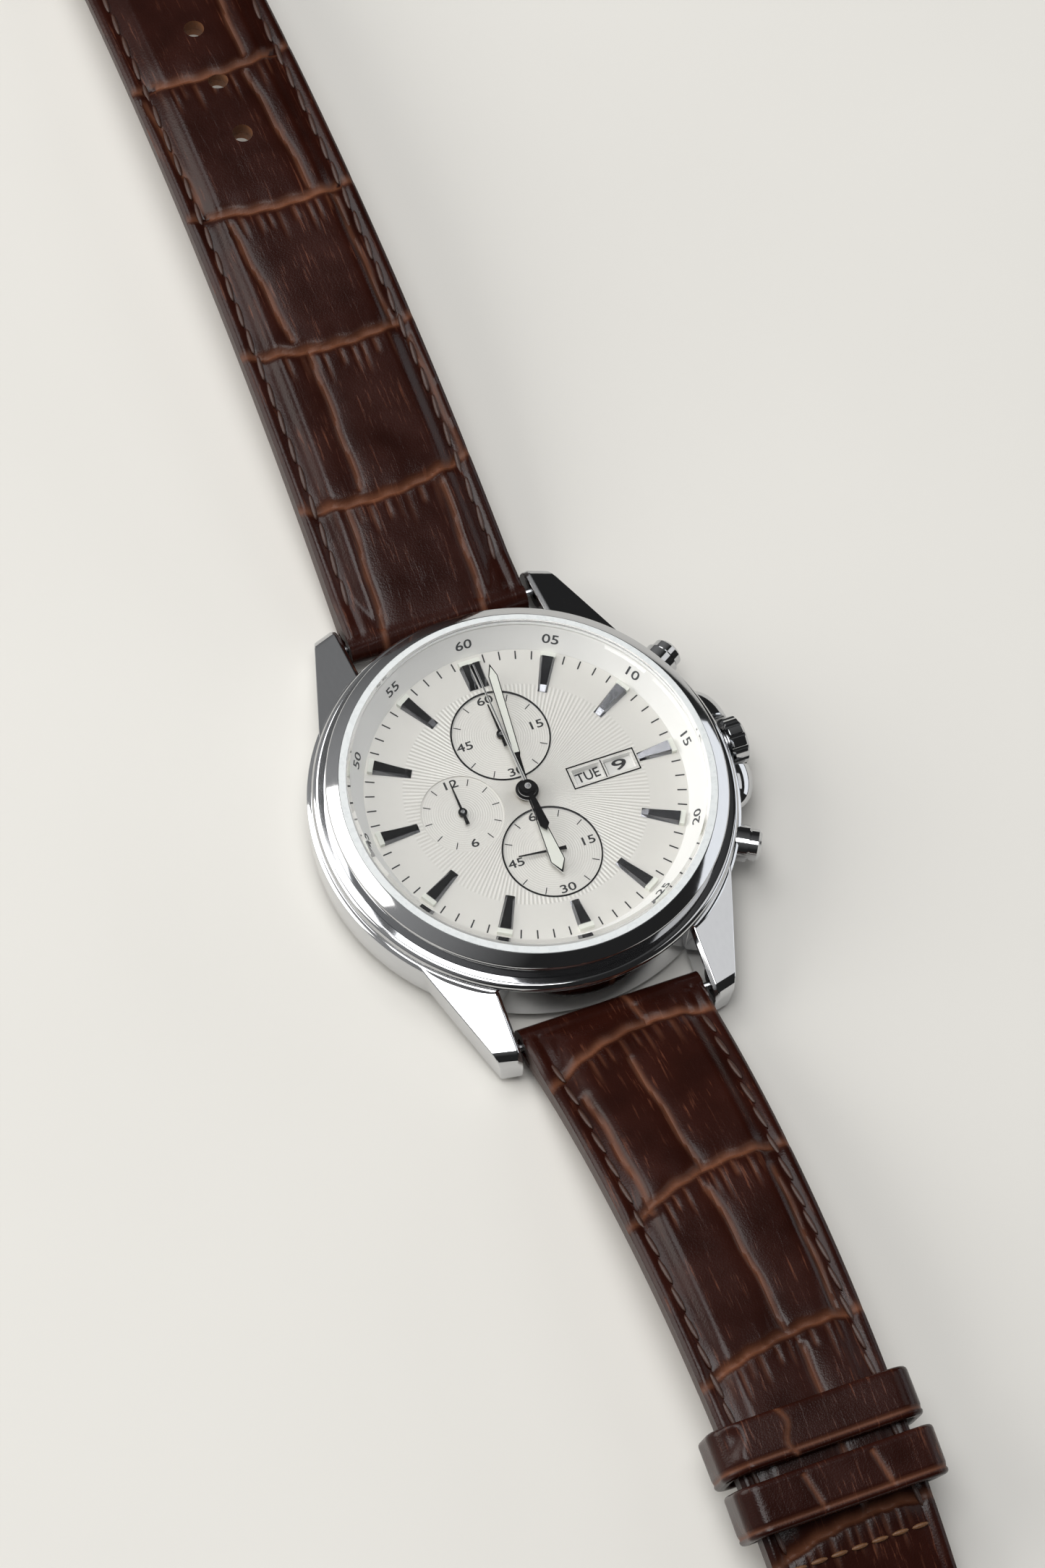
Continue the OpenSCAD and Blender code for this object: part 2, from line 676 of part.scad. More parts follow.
// Inner radius and width factor of the marker at each hour: the one at twelve is a double wedge
function marker_start(hour) = marker_in_r + (hour == 0 ? 0.9 : hour == 6 ? 1 : hour == 3 ? 0.5 : 0);

module hour_markers() {
    color("dimgray") for (hour = [0:11]) clock(30 * hour)
        if (hour == 0) {
            for (s = [-1, 1]) translate([s * (marker_in_w + 0.2) / 2, 0, 0])
                marker(marker_start(0), marker_out_r - 0.3, marker_in_w, marker_in_w + 0.15);
        } else {
            marker(marker_start(hour), marker_out_r, marker_in_w, marker_out_w);
        }
}

module marker_lume() {
    color("honeydew") for (hour = [0:11]) clock(30 * hour) {
        w = hour == 0 ? 2 * marker_in_w + 0.35 : marker_out_w;
        start = hour == 0 ? marker_out_r - 0.3 : marker_out_r;
        translate([-w / 2, start + seat, dial_z + seat]) cube([w, lume_len, marker_h - 0.1]);
    }
}

// Black outline round both windows, with a bar between them
module calendar_frame() {
    line = calendar_bar / 2;
    color("black") translate([calendar_x, 0, dial_z + seat]) linear_extrude(0.08) {
        difference() {
            square([calendar_w, calendar_h], center = true);
            square([calendar_w - 2 * line, calendar_h - 2 * line], center = true);
        }
        square([line, calendar_h], center = true);
    }
}

// Movement

module movement_holder() {
    color("whitesmoke") difference() {
        translate([0, 0, thread_z + seat])
            ring(cavity_r - slip, movement_r + slip, dial_low_z - thread_z - 2 * seat);
        radial(0) cylinder(r = tube_r + 0.3, h = band_d);
        for (a = [-pusher_angle, pusher_angle]) radial(a) cylinder(r = shaft_d / 2 + 0.3, h = band_d);
    }
}

module counter_bores(z, h) {
    translate([0, 0, z]) {
        counter_places() cylinder(r = counter_arbor_r + slip, h = h);
        cylinder(r = cannon_r + slip, h = h);
    }
}

function gear_place() = gear_distance * [-sin(gear_angle), cos(gear_angle)];

module screw_places() {
    for (a = [40, 130, 190, 310]) rotate([0, 0, a]) translate([movement_r - 1.7, 0, 0]) children();
}

module main_plate() {
    screw_r = 0.4;
    works_r = gear_module * (hour_wheel_teeth + 2) / 2 + 0.25;
    color("goldenrod") {
        difference() {
            translate([0, 0, plate_low_z]) cylinder(r = movement_r, h = plate_t - seat);
            translate([0, 0, date_z - slip]) ring(date_out_r + 0.15, date_in_r - 0.15, plate_t);
            translate([day_x, day_y, day_z - slip]) cylinder(r = day_r + 0.15, h = plate_t);
            translate([0, 0, works_z - slip]) {
                cylinder(r = works_r, h = plate_t);
                translate(gear_place()) cylinder(r = works_r, h = plate_t);
            }
            counter_bores(plate_low_z - 1, plate_t + 2);
            radial(0) translate([0, 0, stem_in_x - 0.3]) cylinder(r = stem_d / 2 + slip, h = band_d);
            radial(0) translate([0, 0, pinion_x - 0.1]) cylinder(r = pinion_r + slip, h = pinion_len + 0.2);
            screw_places() translate([0, 0, plate_low_z - 1]) cylinder(r = screw_r + seat, h = 2);
        }
        translate([gear_place().x, gear_place().y, works_z - 0.5])
            cylinder(r = counter_arbor_r, h = dial_low_z - works_z + 0.4);
        translate([day_x, day_y, day_z - 0.5]) cylinder(r = 0.5, h = disc_t + 0.55);
    }
}

battery_at = [-5.6, -7.2];
coil_len = 9;

module battery_pocket(h) {
    translate([battery_at.x, battery_at.y, board_low_z - 1]) cylinder(r = battery_d / 2 + 0.2, h = h);
}

// Where the three motor coils lie: middle and direction
coil_places = [[6.5, 6.2, -45], [-5.8, 7, 40], [7.6, -5, 60]];

module coil_pockets(h) {
    for (p = coil_places) translate([p.x, p.y, board_low_z - 1]) rotate([0, 0, p.z])
        translate([-coil_len / 2 - 0.2, -1.2, 0]) cube([coil_len + 0.4, 2.4, h]);
}

module bridge_sheet(z, t, r) {
    difference() {
        translate([0, 0, z + seat]) cylinder(r = r, h = t - seat);
        battery_pocket(6);
        coil_pockets(6);
        counter_bores(z - 1, t + 2);
        screw_places() translate([0, 0, z - 1]) cylinder(r = 0.4 + seat, h = t + 2);
    }
}

module train_bridge() {
    color("gold") bridge_sheet(bridge_low_z, bridge_t - seat, movement_r - 0.3);
}

module circuit_board() {
    color("darkgreen") bridge_sheet(board_low_z, board_t, movement_r - 0.6);
}

module motor_coils() {
    color("chocolate") for (p = coil_places) translate([p.x, p.y, plate_low_z - 0.8]) rotate([0, 0, p.z]) {
        translate([-coil_len / 2, -0.5, 0.2]) cube([coil_len, 1, 0.6 - seat]);
        rotate([0, 90, 0]) cylinder(r = 0.78, h = coil_len - 3, center = true);
    }
}

module battery() {
    low_z = plate_low_z - battery_h;
    color("gainsboro") translate([battery_at.x, battery_at.y, 0]) {
        translate([0, 0, low_z + 0.3]) cylinder(r = battery_d / 2, h = battery_h - 0.3 - seat);
        translate([0, 0, low_z]) cylinder(r = battery_d / 2 - 0.9, h = 0.4);
    }
}

module battery_clamp() {
    clamp_z = plate_low_z - battery_h - 0.25;
    color("silver") translate([battery_at.x, battery_at.y, clamp_z]) {
        translate([-battery_d / 2 - 1.2, -1, 0]) cube([battery_d + 2.4, 2, 0.25 - seat]);
        for (s = [-1, 1]) translate([s * (battery_d / 2 + 0.7) - 0.4, -1, 0])
            cube([0.8, 2, board_low_z - clamp_z]);
    }
}

module movement_screws() {
    color("silver") screw_places() {
        translate([0, 0, board_low_z - 0.4]) cylinder(r = 0.7, h = 0.4);
        translate([0, 0, board_low_z - 0.1]) cylinder(r = 0.4, h = plate_low_z - board_low_z + 0.9);
    }
}

// Hands, each drawn pointing at twelve

// Outline of a hand with a slim neck, a body that widens to its shoulder and a pointed tip
module hand_outline(length, neck_w, body_start, start_w, shoulder, shoulder_w) {
    polygon([[-neck_w / 2, 0], [-neck_w / 2, body_start - 0.4], [-start_w / 2, body_start],
        [-shoulder_w / 2, shoulder], [0, length], [shoulder_w / 2, shoulder], [start_w / 2, body_start],
        [neck_w / 2, body_start - 0.4], [neck_w / 2, 0]]);
}

// Slot for the lume, inside the body of a hand
module lume_outline(body_start, start_w, shoulder, shoulder_w, rim) {
    polygon([[-start_w / 2 + rim, body_start + rim], [-shoulder_w / 2 + rim, shoulder],
        [shoulder_w / 2 - rim, shoulder], [start_w / 2 - rim, body_start + rim]]);
}

hour_body = [3.4, 0.8, hour_len - 1.4, 1.5];
minute_body = [4, 0.75, minute_len - 1.4, 0.95];
hand_rim = 0.16;

module lumed_hand(lift, length, neck_w, body, bore_r, hub_r) {
    translate([0, 0, dial_z + lift]) difference() {
        union() {
            linear_extrude(hand_t) hand_outline(length, neck_w, body[0], body[1], body[2], body[3]);
            cylinder(r = hub_r, h = hand_t);
        }
        translate([0, 0, -1]) cylinder(r = bore_r, h = 3);
        translate([0, 0, -1]) linear_extrude(3) lume_outline(body[0], body[1], body[2], body[3], hand_rim);
    }
}

module hand_lume(lift, body) {
    translate([0, 0, dial_z + lift + 0.02]) linear_extrude(hand_t - 0.04)
        lume_outline(body[0], body[1], body[2], body[3], hand_rim + seat);
}

module hour_hand() {
    color("dimgray") clock(hour_angle)
        lumed_hand(hour_lift, hour_len, 0.6, hour_body, hour_pipe_r + seat, hour_pipe_r + 0.4);
}

module hour_hand_lume() {
    color("white") clock(hour_angle) hand_lume(hour_lift, hour_body);
}

module minute_hand() {
    color("dimgray") clock(minute_angle)
        lumed_hand(minute_lift, minute_len, 0.5, minute_body, cannon_r + seat, cannon_r + 0.45);
}

module minute_hand_lume() {
    color("white") clock(minute_angle) hand_lume(minute_lift, minute_body);
}

module hour_wheel() {
    color("goldenrod") difference() {
        union() {
            translate([0, 0, hour_wheel_z]) linear_extrude(works_t) gear_outline(hour_wheel_teeth);
            translate([0, 0, hour_wheel_z])
                cylinder(r = hour_pipe_r, h = dial_z + hour_lift + hand_t - hour_wheel_z);
        }
        cylinder(r = hour_bore_r, h = 20);
    }
}

module cannon_pinion() {
    color("goldenrod") difference() {
        union() {
            translate([0, 0, works_z]) rotate([0, 0, gear_angle + 180 / cannon_teeth])
                linear_extrude(works_t) gear_outline(cannon_teeth);
            translate([0, 0, plate_low_z])
                cylinder(r = cannon_r, h = dial_z + minute_lift + hand_t - plate_low_z);
        }
        cylinder(r = cannon_bore_r, h = 20);
    }
}

module minute_wheel() {
    pinion_z = works_z + works_t;
    color("goldenrod") translate(gear_place()) difference() {
        union() {
            translate([0, 0, works_z]) rotate([0, 0, gear_angle]) linear_extrude(works_t)
                gear_outline(minute_wheel_teeth);
            translate([0, 0, pinion_z]) rotate([0, 0, gear_angle + 180 / minute_pinion_teeth])
                linear_extrude(works_t + 0.15) gear_outline(minute_pinion_teeth);
        }
        cylinder(r = counter_arbor_r + slip, h = 20);
    }
}

module chrono_seconds_hand() {
    hub_r = 0.72;
    color("dimgray") translate([0, 0, dial_z + sweep_lift]) difference() {
        union() {
            linear_extrude(hand_t)
                polygon([[-0.17, 0], [-0.06, sweep_len], [0.06, sweep_len], [0.17, 0], [0.25, -1],
                    [0.5, 0.65 - sweep_tail], [0, -sweep_tail], [-0.5, 0.65 - sweep_tail], [-0.25, -1]]);
            cylinder(r = hub_r, h = hand_t + 0.14);
        }
        translate([0, 0, -1]) cylinder(r = arbor_r + seat, h = 3);
    }
}

module chrono_seconds_arbor() {
    color("silver") translate([0, 0, plate_low_z - 0.6])
        cylinder(r = arbor_r, h = dial_z + sweep_lift + 0.4 - plate_low_z + 0.6);
}

module counter_hand(angle) {
    translate([0, 0, dial_z + counter_lift]) clock(angle) difference() {
        union() {
            linear_extrude(counter_hand_t)
                polygon([[-0.13, 0], [-0.05, counter_len], [0.05, counter_len], [0.13, 0],
                    [0.2, -counter_tail], [-0.2, -counter_tail]]);
            cylinder(r = 0.45, h = counter_hand_t);
        }
        translate([0, 0, -1]) cylinder(r = counter_arbor_r + seat, h = 3);
    }
}

module counter_arbor() {
    translate([0, 0, plate_low_z - 0.5])
        cylinder(r = counter_arbor_r, h = dial_z + counter_lift + hand_t + 0.08 - plate_low_z + 0.5);
}

module chrono_minute_hand() {
    color("black") translate([0, subdial_offset, 0]) counter_hand(0);
}

module chrono_minute_arbor() {
    color("silver") translate([0, subdial_offset, 0]) counter_arbor();
}

module chrono_hour_hand() {
    color("black") translate([-subdial_offset, 0, 0]) counter_hand(0);
}

module chrono_hour_arbor() {
    color("silver") translate([-subdial_offset, 0, 0]) counter_arbor();
}

module small_seconds_hand() {
    color("black") translate([0, -subdial_offset, 0]) counter_hand(seconds_angle);
}

module small_seconds_arbor() {
    color("silver") translate([0, -subdial_offset, 0]) counter_arbor();
}

// Calendar

module date_disc() {
    color("white") translate([0, 0, date_z]) ring(date_out_r, date_in_r, disc_t);
}

module day_disc() {
    color("gainsboro") translate([day_x, day_y, day_z]) ring(day_r, 0.5 + slip, disc_t);
}

// Crown and pushers

module sliding_pinion() {
    color("goldenrod") radial(0) translate([0, 0, pinion_x]) difference() {
        cylinder(r = pinion_r, h = pinion_len);
        cube([stem_square + 2 * slip, stem_square + 2 * slip, 4 * pinion_len], center = true);
    }
}

module stem() {
    square_len = 4.5;
    color("silver") radial(0) translate([0, 0, stem_in_x]) {
        translate([-stem_square / 2, -stem_square / 2, 0]) cube([stem_square, stem_square, square_len + 0.1]);
        translate([0, 0, square_len])
            cylinder(r = stem_d / 2, h = crown_x + crown_len - 0.6 - stem_in_x - square_len);
    }
}

module crown() {
    r = crown_d / 2;
    edge = 0.45;
    color("silver") radial(0) difference() {
        translate([0, 0, crown_x]) turned()
            polygon([[0, 0], [r - edge / 2, 0], [r, edge / 2], [r, crown_len - edge],
                [r - edge, crown_len - 0.12], [0, crown_len]]);
        for (i = [0:crown_flutes - 1]) rotate([0, 0, (i + 0.5) * 360 / crown_flutes])
            translate([r + 0.06, 0, crown_x - 1]) cylinder(r = 0.28, h = crown_len + 2);
        cylinder(r = tube_r + 0.25, h = crown_x + crown_hollow);
        cylinder(r = stem_d / 2 + seat, h = crown_x + crown_len - 0.6 + seat);
    }
}

module crown_gasket() {
    color("dimgray") radial(0) translate([0, 0, crown_x + 0.1])
        ring(tube_r + 0.25 - seat, tube_r + slip, 0.4);
}

module pusher() {
    edge = 0.3;
    difference() {
        union() {
            translate([0, 0, pusher_under]) cylinder(r = pusher_r, h = pusher_end - edge - pusher_under);
            translate([0, 0, pusher_end - edge]) cylinder(r1 = pusher_r, r2 = pusher_r - edge, h = edge);
            translate([0, 0, shaft_in_x]) cylinder(r = shaft_d / 2, h = pusher_end - 0.5 - shaft_in_x);
        }
        translate([0, 0, collar_end + 0.12]) ring(pusher_r + 1, pusher_r - 0.12, 0.14);
    }
}

module start_pusher() {
    color("silver") radial(pusher_angle) pusher();
}

module reset_pusher() {
    color("silver") radial(-pusher_angle) pusher();
}

// Return spring as one unbroken wire between the collar's floor and the cap
module return_spring() {
    wire_r = 0.11;
    turns = 4;
    steps = 8;
    sides = 6;
    coil_r = (collar_bore_r + shaft_d / 2) / 2;
    low = collar_floor + wire_r + seat;
    rise = pusher_under - wire_r - seat - low;
    rings = [for (i = [0:turns * steps]) let (a = 360 * i / steps, z = low + rise * i / (turns * steps))
        [for (k = [0:sides - 1]) let (b = 360 * k / sides, r = coil_r + wire_r * cos(b))
            [r * cos(a), r * sin(a), z + wire_r * sin(b)]]];
    points = [for (one = rings, p = one) p];
    walls = [for (i = [0:turns * steps - 1], k = [0:sides - 1])
        let (a = i * sides + k, b = i * sides + (k + 1) % sides)
        each [[a, b + sides, b], [a, a + sides, b + sides]]];
    caps = [for (k = [1:sides - 2]) each [[0, k, k + 1],
        [turns * steps * sides, turns * steps * sides + k + 1, turns * steps * sides + k]]];
    polyhedron(points, concat(walls, caps));
}

module start_pusher_spring() {
    color("silver") radial(pusher_angle) return_spring();
}

module reset_pusher_spring() {
    color("silver") radial(-pusher_angle) return_spring();
}

// Strap, drawn towards +Y; the buckle piece is turned over to -Y

// Band between an outer and an inner arch, from one distance to another
module arch_band(outer, outer_grow, inner, inner_grow, from, to) {
    side_extrude(2 * strap_w) intersection() {
        difference() {
            translate([outer[0], outer[1]]) circle(outer[2] + outer_grow, $fn = arc_fn);
            translate([inner[0], inner[1]]) circle(inner[2] + inner_grow, $fn = arc_fn);
        }
        translate([from, -2]) square([to - from, 40]);
    }
}

// Stands a plan up through the whole height of the strap
module standing() {
    translate([0, 0, -2]) linear_extrude(40) children();
}

// Plan of the long piece, drawn in by an inset: a taper whose sides curve in to a point
module tail_plan(inset) {
    point_len = strap_end_w * 0.75;
    point_start = tail_reach - point_len;
    point_r = (point_len * point_len + strap_end_w * strap_end_w / 4) / strap_end_w;
    point_turn = asin(point_len / point_r);
    arc_steps = 16;
    near_y = bar_y - strap_root_t;
    side = concat([[strap_half_w(near_y, point_start), near_y]],
        [for (i = [0:arc_steps]) let (a = point_turn * i / arc_steps)
            [strap_end_w / 2 - point_r + point_r * cos(a), point_start + point_r * sin(a)]]);
    outline = [for (p = side) [max(p.x - inset, 0), p.y]];
    polygon(concat(outline, [for (i = [arc_steps:-1:0]) [-outline[i].x, outline[i].y]]));
}

module buckle_plan(inset) {
    near_y = bar_y - strap_root_t;
    far_y = buckle_reach + strap_fold_t;
    near_x = strap_half_w(near_y, buckle_reach) - inset;
    far_x = strap_half_w(far_y, buckle_reach) - inset;
    polygon([[near_x, near_y], [far_x, far_y], [-far_x, far_y], [-near_x, near_y]]);
}

module tail_holes() {
    for (i = [0:hole_count - 1]) {
        y = hole_first + i * hole_pitch;
        translate([0, y, arch_z(tail_top, y)]) rotate([-asin((y - tail_top[0]) / tail_top[2]), 0, 0])
            cylinder(d = hole_d, h = 12, center = true);
    }
}

// Two steps of padding between the stitched margins, on top of a band
module padding(top, margin, from, to) {
    intersection() {
        arch_band(top, -pad_step, margin, -0.3, from, to);
        children(0);
    }
    intersection() {
        arch_band(top, 0, top, -pad_step - 0.2, from, to - 2);
        children(1);
    }
}

module tail_piece() {
    difference() {
        children();
        tail_holes();
        cross_bar(bar_y, bar_z, bar_d / 2 + slip, 2 * strap_w);
    }
}

module tail_upper() {
    color("saddlebrown") tail_piece() {
        intersection() {
            cross_bar(bar_y, bar_z, strap_root_t / 2 + roll_over, 2 * strap_w);
            standing() tail_plan(0);
        }
        intersection() {
            difference() {
                arch_band(tail_margin, 0, tail_low, 0, bar_y, tail_reach + 1);
                arch_band(tail_low, lining_t + glue, tail_low, -2, bar_y + strap_start, tail_reach + 2);
            }
            standing() tail_plan(0);
        }
        padding(tail_top, tail_margin, bar_y, tail_reach - pad_end) {
            standing() tail_plan(margin_w);
            standing() tail_plan(margin_w + 1);
        }
    }
}

module tail_lining() {
    color("peru") tail_piece() intersection() {
        arch_band(tail_low, lining_t, tail_low, 0, bar_y + strap_start + glue, tail_reach + 1);
        standing() tail_plan(0);
    }
}

module buckle_piece() {
    mirror([0, 1, 0]) difference() {
        children();
        cross_bar(bar_y, bar_z, bar_d / 2 + slip, 2 * strap_w);
        cross_bar(buckle_reach, buckle_bar_z, buckle_bar_d / 2 + slip, 2 * strap_w);
        translate([-tongue_slot_w / 2, buckle_reach - tongue_slot_len, -2]) cube([tongue_slot_w, 20, 20]);
    }
}

module buckle_strap_upper() {
    color("saddlebrown") buckle_piece() {
        intersection() {
            union() {
                cross_bar(bar_y, bar_z, strap_root_t / 2 + roll_over, 2 * strap_w);
                cross_bar(buckle_reach, buckle_bar_z, strap_fold_t / 2 + roll_over, 2 * strap_w);
            }
            standing() buckle_plan(0);
        }
        intersection() {
            difference() {
                arch_band(buckle_margin, 0, buckle_low, 0, bar_y, buckle_reach);
                arch_band(buckle_low, lining_t + glue, buckle_low, -2, bar_y + strap_start,
                    buckle_reach - fold_start);
            }
            standing() buckle_plan(0);
        }
        padding(buckle_top, buckle_margin, bar_y, buckle_reach - 6) {
            standing() buckle_plan(margin_w);
            standing() buckle_plan(margin_w + 1);
        }
    }
}

module buckle_strap_lining() {
    color("peru") buckle_piece() intersection() {
        arch_band(buckle_low, lining_t, buckle_low, 0, bar_y + strap_start + glue,
            buckle_reach - fold_start - glue);
        standing() buckle_plan(0);
    }
}

// Loop of leather round the buckle piece at a distance from the centre, with room over or under the strap
module keeper(y, over, under) {
    top = arch_z(buckle_top, y);
    thick = top - arch_z(buckle_low, y);
    in_w = 2 * strap_half_w(y - keeper_w, buckle_reach) + 2 * keeper_fit;
    in_h = thick + over + under;
    mirror([0, 1, 0]) translate([0, y, top]) rotate([-asin((y - buckle_top[0]) / buckle_top[2]), 0, 0])
        translate([0, 0, over - in_h / 2]) rotate([90, 0, 0])
            linear_extrude(keeper_w, center = true) difference() {
                round_rect(in_w + 2 * keeper_t, in_h + 2 * keeper_t, keeper_round + keeper_t);
                round_rect(in_w, in_h, keeper_round);
            }
}

module fixed_keeper() {
    color("saddlebrown") keeper(fixed_keeper_y, keeper_room, keeper_fit);
}

module free_keeper() {
    color("saddlebrown") keeper(free_keeper_y, keeper_fit, keeper_room);
}

// Buckle

module buckle_frame() {
    far_y = buckle_reach + buckle_len;
    near_y = buckle_reach - buckle_heel;
    arch_y = (far_y + near_y) / 2;
    corner = 2;
    color("silver") mirror([0, 1, 0]) difference() {
        intersection() {
            translate([0, 0, table_gap]) linear_extrude(buckle_h) difference() {
                translate([0, far_y - 15]) round_rect(buckle_out_w, 30, corner);
                translate([0, far_y - buckle_rail - 15]) round_rect(buckle_in_w, 30, corner / 2);
                translate([-buckle_out_w, near_y - 30]) square([2 * buckle_out_w, 30]);
            }
            translate([0, arch_y, table_gap + buckle_h - buckle_arch_r]) rotate([0, 90, 0])
                cylinder(r = buckle_arch_r, h = 2 * buckle_out_w, center = true, $fn = arc_fn);
        }
        cross_bar(buckle_reach, buckle_bar_z, buckle_bar_d / 2 + seat, 2 * buckle_out_w);
        translate([-tongue_w / 2 - 0.2, far_y - buckle_rail - 1, table_gap + buckle_h - 1.3])
            cube([tongue_w + 0.4, buckle_rail + 2, 3]);
    }
}

module buckle_bar() {
    color("silver") cross_bar(-buckle_reach, buckle_bar_z, buckle_bar_d / 2, buckle_out_w - 0.3);
}

module buckle_tongue() {
    tip_y = buckle_reach + buckle_len - 0.5;
    seat_z = table_gap + buckle_h - 1.3 + slip;
    color("silver") mirror([0, 1, 0]) difference() {
        union() {
            cross_bar(buckle_reach, buckle_bar_z, tongue_ring_r, tongue_w);
            side_extrude(tongue_w)
                polygon([[buckle_reach, buckle_bar_z], [buckle_reach, buckle_bar_z + tongue_ring_r],
                    [buckle_reach + 3, seat_z + tongue_t], [tip_y - 1, seat_z + tongue_t], [tip_y, seat_z + 0.3],
                    [tip_y, seat_z], [buckle_reach + 3, seat_z]]);
        }
        cross_bar(buckle_reach, buckle_bar_z, buckle_bar_d / 2 + slip, 2 * tongue_w);
    }
}

case_middle();
bezel();
crystal();
crystal_gasket();
flange_ring();
case_back();
case_back_gasket();
crown_tube();
pusher_collars();
pusher_seals();
spring_bars();
dial();
subdial_rings();
hour_markers();
marker_lume();
calendar_frame();
movement_holder();
main_plate();
train_bridge();
circuit_board();
motor_coils();
battery();
battery_clamp();
movement_screws();
hour_hand();
hour_hand_lume();
hour_wheel();
minute_hand();
minute_hand_lume();
cannon_pinion();
minute_wheel();
chrono_seconds_hand();
chrono_seconds_arbor();
chrono_minute_hand();
chrono_minute_arbor();
chrono_hour_hand();
chrono_hour_arbor();
small_seconds_hand();
small_seconds_arbor();
date_disc();
day_disc();
sliding_pinion();
stem();
crown();
crown_gasket();
start_pusher();
reset_pusher();
start_pusher_spring();
reset_pusher_spring();
tail_upper();
tail_lining();
buckle_strap_upper();
buckle_strap_lining();
fixed_keeper();
free_keeper();
buckle_frame();
buckle_bar();
buckle_tongue();
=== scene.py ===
# %% [markdown]
# # A chronograph wristwatch on a padded leather strap
# The solids of the watch come from CAD and stay where they are. This lesson gives them their finishes
# and builds what CAD leaves plain: the buffed case, the print on the dial, and the embossed strap with
# its stitching. Every size is a real one in millimetres, and `MM` turns it into Blender's metres.

# %% Load the frame
import math

import bpy
import numpy as np
from mathutils import Matrix, Vector


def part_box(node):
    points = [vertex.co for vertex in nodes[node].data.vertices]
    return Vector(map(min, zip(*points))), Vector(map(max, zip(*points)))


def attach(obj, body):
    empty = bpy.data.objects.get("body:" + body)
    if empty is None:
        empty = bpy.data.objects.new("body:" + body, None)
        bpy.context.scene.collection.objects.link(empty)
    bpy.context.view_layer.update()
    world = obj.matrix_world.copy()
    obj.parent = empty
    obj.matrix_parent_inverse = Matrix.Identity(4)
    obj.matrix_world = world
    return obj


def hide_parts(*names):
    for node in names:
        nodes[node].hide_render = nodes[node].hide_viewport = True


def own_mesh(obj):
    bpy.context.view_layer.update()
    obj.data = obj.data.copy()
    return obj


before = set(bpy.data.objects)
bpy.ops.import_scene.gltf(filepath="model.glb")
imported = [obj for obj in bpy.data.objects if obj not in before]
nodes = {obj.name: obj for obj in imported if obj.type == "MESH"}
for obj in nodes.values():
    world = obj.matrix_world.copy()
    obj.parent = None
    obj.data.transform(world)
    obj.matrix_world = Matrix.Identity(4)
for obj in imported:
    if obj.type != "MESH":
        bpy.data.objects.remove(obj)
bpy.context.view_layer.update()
scene = bpy.context.scene
MM = 0.001

# %% [markdown]
# ## The camera
# The view is a long lens from above and in front, turned a little, as someone sees a watch that lies
# before them. Three directions fix it: back towards the eye, right and up in the picture. A rotation is
# a matrix whose columns are right, up and back, so the camera needs no aiming at an object.

# %% Place the camera
AZIMUTH, ELEVATION, ROLL = math.radians(-31.85), math.radians(62.19), math.radians(10.97)
EYE = Vector((-167.7, -268.9, 611.0)) * MM
LENS, SENSOR = 157.7, 36
flat_share = math.cos(ELEVATION)
back = Vector((math.sin(AZIMUTH) * flat_share, -math.cos(AZIMUTH) * flat_share, math.sin(ELEVATION)))
level = Vector((math.cos(AZIMUTH), math.sin(AZIMUTH), 0))
upright = back.cross(level)
right = math.cos(ROLL) * level + math.sin(ROLL) * upright
up = math.cos(ROLL) * upright - math.sin(ROLL) * level
camera_data = bpy.data.cameras.new("camera")
camera_data.lens = LENS
camera_data.sensor_fit = "VERTICAL"
camera_data.sensor_height = SENSOR
camera = bpy.data.objects.new("camera", camera_data)
scene.collection.objects.link(camera)
camera.matrix_world = Matrix.Translation(EYE) @ Matrix((right, up, back)).transposed().to_4x4()
scene.camera = camera
print("camera at", [round(v, 3) for v in EYE])

# %% [markdown]
# ## Small helpers
# Blender works in linear light, and colours are written as the sRGB hex values that a paint chart
# gives, so one function converts them. A second adds a shader node with its settings and its links in
# one line. The others start a material, link what drives its shader, let one grain drive it, measure
# the distance from the watch's axis, and put a material on solids that came from CAD.

# %% Helpers for colours, nodes and materials
def colour(hex_value):
    channels = [int(hex_value[i:i + 2], 16) / 255 for i in (1, 3, 5)]
    return [c / 12.92 if c <= 0.04045 else ((c + 0.055) / 1.055) ** 2.4 for c in channels] + [1]


def add(tree, kind, inputs=None, **settings):
    node = tree.nodes.new("ShaderNode" + kind)
    for name, value in settings.items():
        setattr(node, name, value)
    for name, value in (inputs or {}).items():
        if isinstance(value, bpy.types.NodeSocket):
            tree.links.new(value, node.inputs[name])
        else:
            node.inputs[name].default_value = value
    return node


def start(name, **constants):
    material = bpy.data.materials.new(name)
    material.use_nodes = True
    tree = material.node_tree
    shader = tree.nodes["Principled BSDF"]
    for socket, value in constants.items():
        shader.inputs[socket.replace("_", " ")].default_value = value
    return material, tree, shader


def wire(tree, shader, **drivers):
    for socket, value in drivers.items():
        tree.links.new(value, shader.inputs[socket.replace("_", " ")])


def grained(tree, shader, grain, dark, light, rough, relief):
    """Lets one grain drive a shader's colour, gloss and relief, which is given in millimetres."""
    blend = add(tree, "Mix", {0: grain, 6: colour(dark), 7: colour(light)}, data_type="RGBA")
    gloss = add(tree, "MapRange", {0: grain, 3: rough[0], 4: rough[1]})
    bump = add(tree, "Bump", {"Height": grain, "Distance": relief * MM, "Strength": 0.5})
    wire(tree, shader, Base_Color=blend.outputs[2], Roughness=gloss.outputs[0], Normal=bump.outputs[0])


